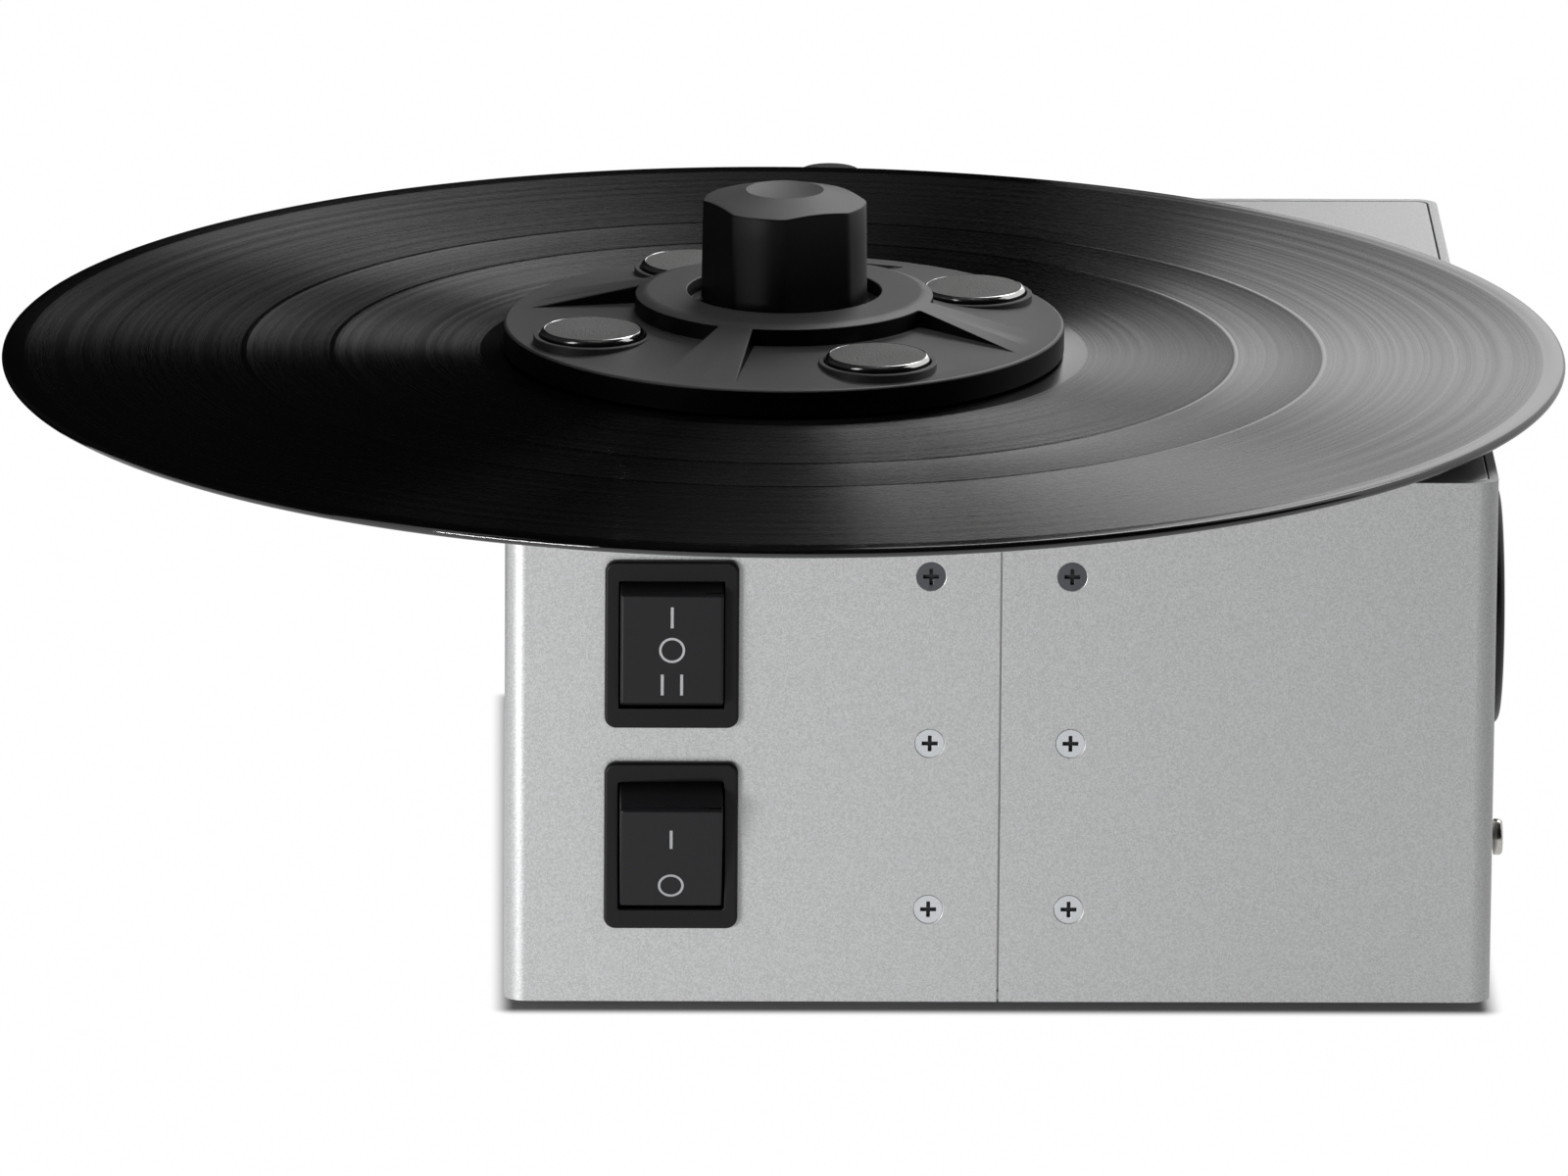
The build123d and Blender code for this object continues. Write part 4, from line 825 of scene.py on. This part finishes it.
@dataclass
class Record:
    """The pressed record, alike on both sides: label, run-out ring, tracks and beaded rim."""

    finishes: Finishes
    spindle: Point
    zones: Pressing = Pressing()
    steps: int = 512
    smooth_angle: float = 40.0
    bore: float = 3.65 * MM
    label_half: float = 0.95 * MM
    label_round: Point = (0.3 * MM, 0.1 * MM)
    label_foot: float = 0.5 * MM
    groove_half: float = 0.75 * MM
    groove_depth: float = 0.02 * MM
    groove_ramp: float = 0.2 * MM
    gap_ramp: float = 0.1 * MM
    bead_half: float = 0.90 * MM
    bead_width: float = 2.2 * MM
    bead_foot: float = 1.5 * MM
    bead_round: Point = (0.6 * MM, 0.06 * MM)
    bead_steps: int = 10

    def build(self) -> None:
        """Make the record."""
        low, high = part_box("record")
        outer = (high.x - low.x) / 2
        middle = (low.z + high.z) / 2
        label, start = self.zones.label, self.zones.groove_start
        land, groove = self.groove_half, self.groove_half - self.groove_depth
        top = [(self.bore, self.label_half), (label - self.label_round[0], self.label_half),
               (label, self.label_half - self.label_round[1]), (label + self.label_foot, land),
               (start, land), (start + self.groove_ramp, groove)]
        for gap in self.zones.gaps:
            half = self.zones.gap_width / 2
            top += [(gap - half, groove), (gap - half + self.gap_ramp, land),
                    (gap + half - self.gap_ramp, land), (gap + half, groove)]
        bead_start = outer - self.bead_half - self.bead_width
        top += [(bead_start - self.bead_foot, groove),
                (bead_start, self.bead_half - self.bead_round[1]),
                (bead_start + self.bead_round[0], self.bead_half)]
        rim = arc((outer - self.bead_half, 0.0), self.bead_half, 90, -90, self.bead_steps)
        bottom = [(radius, -height) for radius, height in reversed(top)]
        bm = revolved(top + rim + bottom, self.steps, (*self.spindle, middle))
        record = object_of("record_look", bm, self.finishes["vinyl"], self.smooth_angle)
        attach(record, "record_body")
        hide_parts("record")
        LOG.info("record, radius %.1f mm", outer / MM)


@dataclass
class Clamp(Assembly):
    """The record clamp: disc, weights, washer and knob.

    The seat and the outlines round a weight are (inset from its side, drop from its top) in
    millimetres. The edge shares are (drop, pull inwards) of the knob's rounded top edge, and the
    other shares say where its rings of points lie. Light and shade are painted by the upward part
    of a face's normal: painted shade on the disc's side walls within the disc's shade span, and
    painted light on the knob's upward faces within the knob's light span.
    """

    spindle: Point
    count: int = 4
    spoke_angle: float = 70.0
    weight_radius: float = 10.0 * MM
    weight_circle: float = 40.8 * MM
    weight_edge: float = 0.2 * MM
    weight_steps: int = 96
    seat: Point = (0.75, 0.72)
    rim_outline: tuple[Point, ...] = ((1.05, 0.72), (0.02, 0.71), (0.12, 0.5), (0.55, 0.06),
                                      (0.75, 0.0), (0.87, 0.08), (1.05, 0.08))
    face_outline: tuple[Point, ...] = ((0.85, 0.70), (0.89, 0.02), (1.25, 0.0))
    boss_outline: tuple[Point, ...] = ((-1.3, 1.35), (-1.15, 1.2), (-0.4, 1.2), (-0.3, 1.3))
    boss_span: Point = (0.3 * MM, 1.3 * MM)
    boss_foot: float = 0.8 * MM
    disc_edge: float = 0.25 * MM
    # faces whose normal's upward part lies in this span get painted shade
    disc_shade_rise: Point = (-1.0, 0.35)
    washer_edge: float = 0.15 * MM
    knob_radius: float = 16.0 * MM
    knob_top_radius: float = 15.7 * MM
    knob_height: float = 19.6 * MM
    knob_crown: float = 2.2 * MM
    knob_flat: float = 14.3 * MM
    knob_blend: float = 0.35 * MM
    knob_edge: float = 0.35 * MM
    knob_steps: int = 288
    knob_smooth: float = 28.0
    bore_gap: float = 0.02 * MM
    bore_depth: float = 16.0 * MM
    dish_radius: float = 7.45 * MM
    dish_depth: float = 1.0 * MM
    dish_lip: float = 0.1 * MM
    side_shares: tuple[float, ...] = (0.25, 0.5, 0.75)
    edge_shares: tuple[Point, ...] = ((1.0, 0.0), (0.55, 0.06), (0.22, 0.25), (0.05, 0.6),
                                      (0.0, 1.0))
    crown_shares: tuple[float, ...] = (0.35, 0.7, 0.93)
    dish_shares: tuple[float, ...] = (1.0, 0.985, 0.9, 0.75, 0.55, 0.3, 0.1)
    # faces whose normal's upward part lies in this span get painted light
    crown_light_rise: Point = (0.5, 1.0)

    @property
    def weight_angle(self) -> float:
        """Where the first weight and the first flat of the knob face, in degrees."""
        return self.spoke_angle - 180 / self.count

    def knob_reach(self, turn: float, round_radius: float) -> float:
        """How far the knob's side stands out in a direction.

        Args:
            turn: The direction, in radians.
            round_radius: The knob's round radius at that height.

        Returns:
            The lesser of the round radius and the flat's distance, blended softly.
        """
        sector = 2 * math.pi / self.count
        offset = (turn - math.radians(self.weight_angle) + sector / 2) % sector - sector / 2
        flat = self.knob_flat / math.cos(offset)
        gap = max(self.knob_blend - abs(round_radius - flat), 0.0) / self.knob_blend
        return min(round_radius, flat) - gap * gap * self.knob_blend / 4

    def knob(self) -> None:
        """Make the knob: sides with flats, a sloping top cut by them, and a shallow dish."""
        foot = (*self.spindle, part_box("clamp_knob")[0].z)
        low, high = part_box("knob_insert")
        bore = (high.x - low.x) / 2 + self.bore_gap
        soft, wide, narrow = self.knob_edge, self.knob_radius, self.knob_top_radius
        slope = self.knob_crown / (narrow - self.dish_radius)
        bm = bmesh.new()
        rings: list[list[Vert]] = []

        def add_ring(reach: Callable[[float], float], height: Callable[[float], float]) -> None:
            """Add one ring of points: its reach at each angle, its height at each reach."""
            spots = [(turn, reach(turn)) for turn in turns_of(self.knob_steps)]
            rings.append([bm.verts.new(about(foot, turn, radius, height(radius)))
                          for turn, radius in spots])

        def cone(radius: float) -> float:
            """Height of the sloping top at a radius."""
            return self.knob_height + (narrow - radius) * slope

        add_ring(lambda t: bore, lambda r: self.bore_depth)
        add_ring(lambda t: bore, lambda r: 0.0)
        add_ring(lambda t: self.knob_reach(t, wide) - soft, lambda r: 0.0)
        add_ring(lambda t: self.knob_reach(t, wide), lambda r: soft)
        for share in self.side_shares:
            add_ring(lambda t, s=share: self.knob_reach(t, wide + (narrow - wide) * s),
                     lambda r, s=share: self.knob_height * s)
        for drop, pull in self.edge_shares:
            add_ring(lambda t, p=pull: self.knob_reach(t, narrow) - soft * p,
                     lambda r, d=drop, p=pull: cone(r + soft * p) - soft * d + slope * soft * p)
        for share in self.crown_shares:
            add_ring(lambda t, s=share: (self.knob_reach(t, narrow) - soft) * (1 - s)
                     + (self.dish_radius + self.dish_lip) * s, cone)
        ball = (self.dish_radius ** 2 + self.dish_depth ** 2) / (2 * self.dish_depth)
        lip = cone(self.dish_radius)
        for share in self.dish_shares:
            radius = self.dish_radius * share
            drop = math.sqrt(ball ** 2 - radius ** 2) - (ball - self.dish_depth)
            add_ring(lambda t, reach=radius: reach, lambda r, d=drop: lip - d)
        for lower, upper in zip(rings, rings[1:]):
            join_rings(bm, lower, upper)
        bm.faces.new(list(reversed(rings[0])))
        bm.faces.new(rings[-1])
        bmesh.ops.recalc_face_normals(bm, faces=bm.faces)
        knob = object_of("clamp_knob_look", bm, self.finishes["knob_black"], self.knob_smooth)
        # painted light: the knob's upward faces get a lighter copy of its finish
        self.paint_by_tilt(knob, "knob_crown", self.crown_light_rise)
        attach(knob, "knob")
        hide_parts("clamp_knob")
        LOG.info("clamp knob")

    def paint_by_tilt(self, piece: Piece, finish: str, rise: Point) -> None:
        """Give the faces whose normal's upward part is within rise a painted copy of the finish: a
        darker one paints shade, a lighter one paints light.
        """
        piece.data.materials.append(self.finishes[finish])
        for polygon in piece.data.polygons:
            if rise[0] <= polygon.normal.z <= rise[1]:
                polygon.material_index = 1

    def disc(self) -> None:
        """Dress the clamp's disc and its washer."""
        disc = self.dressed("clamp_disc", "clamp_black", self.disc_edge)
        # painted shade: the disc's side and downward faces get a darker copy of its finish
        self.paint_by_tilt(disc, "clamp_side", self.disc_shade_rise)
        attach(disc, "clamp")
        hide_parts("clamp_disc")
        washer = self.dressed("clamp_washer", "bright_edge", self.washer_edge)
        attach(washer, "clamp")
        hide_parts("clamp_washer")

    def weights(self) -> None:
        """Make the weights, a blasted face inside a bright rim, and the bosses round them."""
        low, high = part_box("clamp_weights")
        radius, height = self.weight_radius, high.z - low.z

        def outline(*points: Point) -> list[Point]:
            """The (radius, height) points of an outline round a weight."""
            return [(radius - inset * MM, height - drop * MM) for inset, drop in points]

        edge, (near, far) = self.weight_edge, self.boss_span
        seat_height = outline(self.seat)[0][1]
        face = outline(*self.face_outline)
        profiles = {
            "clamp_weight_bosses": ("clamp_black", [
                (radius + near, self.boss_foot), (radius + far, self.boss_foot),
                *outline(*self.boss_outline)]),
            "clamp_weights_look": ("weight_side", [
                (0.0, 0.0), (radius - edge, 0.0), (radius, edge),
                *outline((0.0, self.seat[1]), self.seat), (0.0, seat_height)]),
            "clamp_weight_rims": ("bright_edge", outline(*self.rim_outline)),
            "clamp_weight_faces": ("weight_face", [(0.0, face[0][1]), *face, (0.0, height)])}
        foot = (*self.spindle, low.z)
        first = math.radians(self.weight_angle)
        spots = [about(foot, first + turn, self.weight_circle, 0.0)
                 for turn in turns_of(self.count)]
        for name, (finish, profile) in profiles.items():
            bm = revolved(profile, self.weight_steps, (0.0, 0.0, 0.0))
            shape = object_of(name + "_shape", bm, self.finishes[finish])
            piece = placed_everywhere(name, shape, spots, self.finishes[finish])
            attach(piece, "clamp")
            if finish == "weight_side":
                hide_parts("clamp_weights")
            else:
                "clamp_black" if finish == "clamp_black" else "weight_steel"
        LOG.info("clamp weights, %d", self.count)

    def build(self) -> None:
        """Make the whole clamp."""
        self.disc()
        self.weights()
        self.knob()


@dataclass
class SocketCap:
    """The rubber cap in the arm socket behind the case."""

    finishes: Finishes
    steps: int = 96
    plug_radius: float = 4.93 * MM
    plug_edge: float = 0.4 * MM
    head_radius: float = 6.2 * MM
    head_height: float = 4.95 * MM
    head_edge: float = 0.2 * MM
    rounding: float = 0.9 * MM
    rounding_steps: int = 6
    crown_share: float = 0.4

    def build(self) -> None:
        """Make the cap."""
        low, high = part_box("socket_cap")
        x, y, _ = centre_of("socket_cap")
        top = high.z - low.z
        foot = top - self.head_height
        shoulder = (self.head_radius - self.rounding, top - self.rounding)
        profile = [(0.0, 0.0), (self.plug_radius - self.plug_edge, 0.0),
                   (self.plug_radius, self.plug_edge), (self.plug_radius, foot),
                   (self.head_radius - self.head_edge, foot),
                   (self.head_radius, foot + self.head_edge),
                   *arc(shoulder, self.rounding, 0, 90, self.rounding_steps),
                   (self.head_radius * self.crown_share, top), (0.0, top)]
        cap = object_of("socket_cap_look", revolved(profile, self.steps, (x, y, low.z)),
                        self.finishes["socket_black"])
        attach(cap, "cap")
        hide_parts("socket_cap")
        LOG.info("socket cap")


def dress_inner(nodes: dict[str, Piece], finishes: Finishes) -> None:
    """Give each carried-over CAD node inside the case its own finish."""
    looks = {
        "alloy": "front_seam_bracket rear_seam_bracket corner_posts bearing_housing platter "
                 "impeller",
        "brass": "switch_terminals spindle_bush knob_insert drain_nut board_standoffs",
        "rubber_black": "platter_mat clamp_seal tank_seal motor_cradle exhaust_seal",
        "steel": "spindle motor_pinion gear_motor vacuum_motor",
        "zinc": "motor_plate motor_pillars",
        "nylon": "drive_gear",
        "tank_plastic": "fluid_tank tank_lid",
        "hose_rubber": "suction_hose vacuum_hose drain_hose",
        "parts_dark": "fan_housing board_components",
        "fuse_glass": "fuse",
        "board_green": "power_board",
    }
    for finish, names in looks.items():
        for name in names.split():
            node = nodes[name]
            node.data.materials.clear()
            node.data.materials.append(finishes[finish])
    LOG.info("inner pieces dressed")


# ---------------------------------------------------------------- studio
def column(bm: Draft, angle: float, spots: Sequence[Point]) -> list[Vert]:
    """Add (radius, height) points at an angle in degrees from straight behind to the right."""
    turn = math.radians(angle)
    return [bm.verts.new((radius * math.sin(turn), radius * math.cos(turn), height))
            for radius, height in spots]


def join_columns(bm: Draft, columns: Sequence[list[Vert]]) -> None:
    """Fill the bands between neighbouring columns of points."""
    for before, after in zip(columns, columns[1:]):
        for low in range(len(before) - 1):
            bm.faces.new((before[low], after[low], after[low + 1], before[low + 1]))


@dataclass(frozen=True)
class Camera:
    """A long lens a little left of straight ahead and above."""

    target: Spot = (0.0003, -0.01125, 0.06265)
    azimuth: float = -0.999
    elevation: float = 15.022
    distance: float = 3.2
    roll: float = 0.404
    lens: float = 380.37
    sensor: float = 36.0
    clip_end: float = 100.0

    def build(self) -> None:
        """Make the camera and use it."""
        turn, lift = math.radians(self.azimuth), math.radians(self.elevation)
        back = Vector((math.sin(turn) * math.cos(lift), -math.cos(turn) * math.cos(lift),
                       math.sin(lift)))
        data = bpy.data.cameras.new("camera")
        data.lens = self.lens
        data.sensor_width = self.sensor
        data.clip_end = self.clip_end
        camera = linked("camera", data)
        camera.location = Vector(self.target) + back * self.distance
        aim = (-back).to_track_quat("-Z", "Y").to_matrix().to_4x4()
        roll = Matrix.Rotation(math.radians(self.roll), 4, "Z")
        camera.rotation_euler = (aim @ roll).to_euler()
        bpy.context.scene.camera = camera


@dataclass(frozen=True)
class Lamp:
    """One soft rectangular light."""

    name: str
    place: Spot
    aim: Spot
    size: Point
    power: float

    def build(self) -> None:
        """Make the light."""
        data = bpy.data.lights.new(self.name, "AREA")
        data.shape = "RECTANGLE"
        data.size, data.size_y = self.size
        data.energy = self.power
        lamp = linked(self.name, data)
        lamp.visible_camera = False
        lamp.location = self.place
        way = Vector(self.aim) - Vector(self.place)
        lamp.rotation_euler = way.to_track_quat("-Z", "Y").to_euler()


@dataclass(frozen=True)
class Flag:
    """A dark curved screen round the machine, seen only in reflections.

    Its outline is (angle, height) points. An apron runs inwards from its foot.
    """

    name: str
    outline: tuple[Point, ...]
    apron: float = 1.14
    lift: float = 0.001
    radius: float = 1.15
    step: float = 3.0
    weld: float = 1e-5
    left_tone: float = 0.02
    dark_tone: float = 0.004
    tone_span: Point = (-0.9, -0.3)

    def build(self) -> None:
        """Make the screen."""
        graph = Graph(self.name)
        across = graph.node("ShaderNodeSeparateXYZ", None, {"Vector": graph.place()})
        tone = graph.blend(across.step(*self.tone_span),
                           (self.left_tone,) * 3, (self.dark_tone,) * 3)
        bm = bmesh.new()
        columns = []
        for (start, low), (end, high) in zip(self.outline, self.outline[1:]):
            parts = max(round((end - start) / self.step), 1)
            columns += [column(bm, start + (end - start) * part / parts, (
                (self.apron, self.lift), (self.radius, self.lift),
                (self.radius, low + (high - low) * part / parts))) for part in range(parts + 1)]
        join_columns(bm, columns)
        bmesh.ops.remove_doubles(bm, verts=bm.verts, dist=self.weld)
        screen = object_of(self.name, bm, graph.close(graph.glow(tone)))
        screen.visible_camera = screen.visible_diffuse = screen.visible_shadow = False


@dataclass(frozen=True)
class Shutter:
    """A level board that keeps the key lamp's light off everything above the record.

    It runs outwards from the record's rim and is seen by no ray but the lamp's own.
    """

    name: str
    height: float = 0.1075
    span: Point = (185.0, 250.0)
    reach: Point = (0.158, 1.3)
    parts: int = 16

    def build(self) -> None:
        """Make the board."""
        bm = bmesh.new()
        start, end = self.span
        edges = [(radius, self.height) for radius in self.reach]
        join_columns(bm, [column(bm, start + (end - start) * part / self.parts, edges)
                          for part in range(self.parts + 1)])
        graph = Graph(self.name)
        board = object_of(self.name, bm, graph.close(graph.matt((0.0, 0.0, 0.0))))
        board.visible_camera = board.visible_diffuse = board.visible_glossy = False
        board.visible_transmission = False


@dataclass(frozen=True)
class Studio:
    """Pale floor, white surround, dark screens and soft lights."""

    floor_size: float = 30.0
    ambient: float = 0.12

    def build(self) -> None:
        """Make the floor, the surround, the screens and the lights."""
        low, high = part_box("base_plate")
        centre = centre_of("base_plate")[:2]
        half = ((high.x - low.x) / 2, (high.y - low.y) / 2)
        bm = bmesh.new()
        bmesh.ops.create_grid(bm, x_segments=1, y_segments=1, size=self.floor_size / 2)
        floor = object_of("floor", bm, PaleFloor("floor", centre, half).build())
        self.surround()
        for screen in (
                Flag("back_flag", ((-75.0, 1.7), (3.9, 1.7), (4.1, 0.425), (5.2, 0.385),
                                   (8.0, 0.27)), apron=0.25),
                Flag("hood_flag", ((3.0, 0.9), (6.3, 0.9)), lift=0.47),
                Flag("front_flag", ((95.0, 1.7), (226.0, 1.7))),
                Shutter("key_lid"),
                Flag("left_flag", ((244.0, 1.7), (285.0, 1.7))),
                Flag("roof_flag", ((0.0, 1.7), (360.0, 1.7)), apron=0.01, lift=1.7)):
            screen.build()
        for lamp in (
                Lamp("key_left", (-0.55, -0.75, 0.075), (0.02, -0.08, 0.05), (0.35, 0.06), 4.8),
                Lamp("back_high", (0.36, 0.80, 1.00), (0.03, 0.0, 0.11), (0.50, 0.40), 2.3),
                Lamp("back_strip", (0.07, 0.80, 0.77), (0.0, 0.0, 0.11), (0.04, 0.22), 0.05),
                Lamp("back_right", (0.29, 1.0, 0.39), (0.10, 0.0, 0.11), (0.34, 0.26), 0.20),
                Lamp("top", (0.1, 0.1, 1.9), (0.05, 0.0, 0.1), (0.9, 0.9), 8.0)):
            lamp.build()

    def surround(self) -> None:
        """White to the camera and in reflections, plain grey light to everything else."""
        graph = Graph("surround", world=True)
        soft, white = (graph.node("ShaderNodeBackground", None, {"Strength": strength})
                       for strength in (self.ambient, 1.0))
        mixed = graph.node("ShaderNodeMixShader", None, {0: graph.seen(), 1: soft, 2: white})
        bpy.context.scene.world = graph.close(mixed)


def main() -> None:
    """Build every class in order."""
    logging.basicConfig(level=logging.INFO)
    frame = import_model()
    nodes = frame["nodes"]
    bpy.context.scene.view_settings.view_transform = "Standard"
    Camera().build()
    spindle = centre_of("record")[:2]
    finishes = Finishes(spindle)
    finishes.build()
    Studio().build()
    dress_inner(nodes, finishes)
    Case(nodes, finishes).build()
    Record(finishes, spindle).build()
    Clamp(nodes, finishes, spindle).build()
    Rocker(nodes, finishes, "motor_rocker", "motor_key", 0.0,
           ((Mark.BAR, 6.2 * MM), (Mark.RING, -0.15 * MM), (Mark.PAIR, -6.9 * MM))).build()
    Rocker(nodes, finishes, "vacuum_rocker", "vacuum_key", 16.0,
           ((Mark.BAR, 4.3 * MM), (Mark.RING, -5.9 * MM))).build()
    SocketCap(finishes).build()


if __name__ == "__main__":
    main()
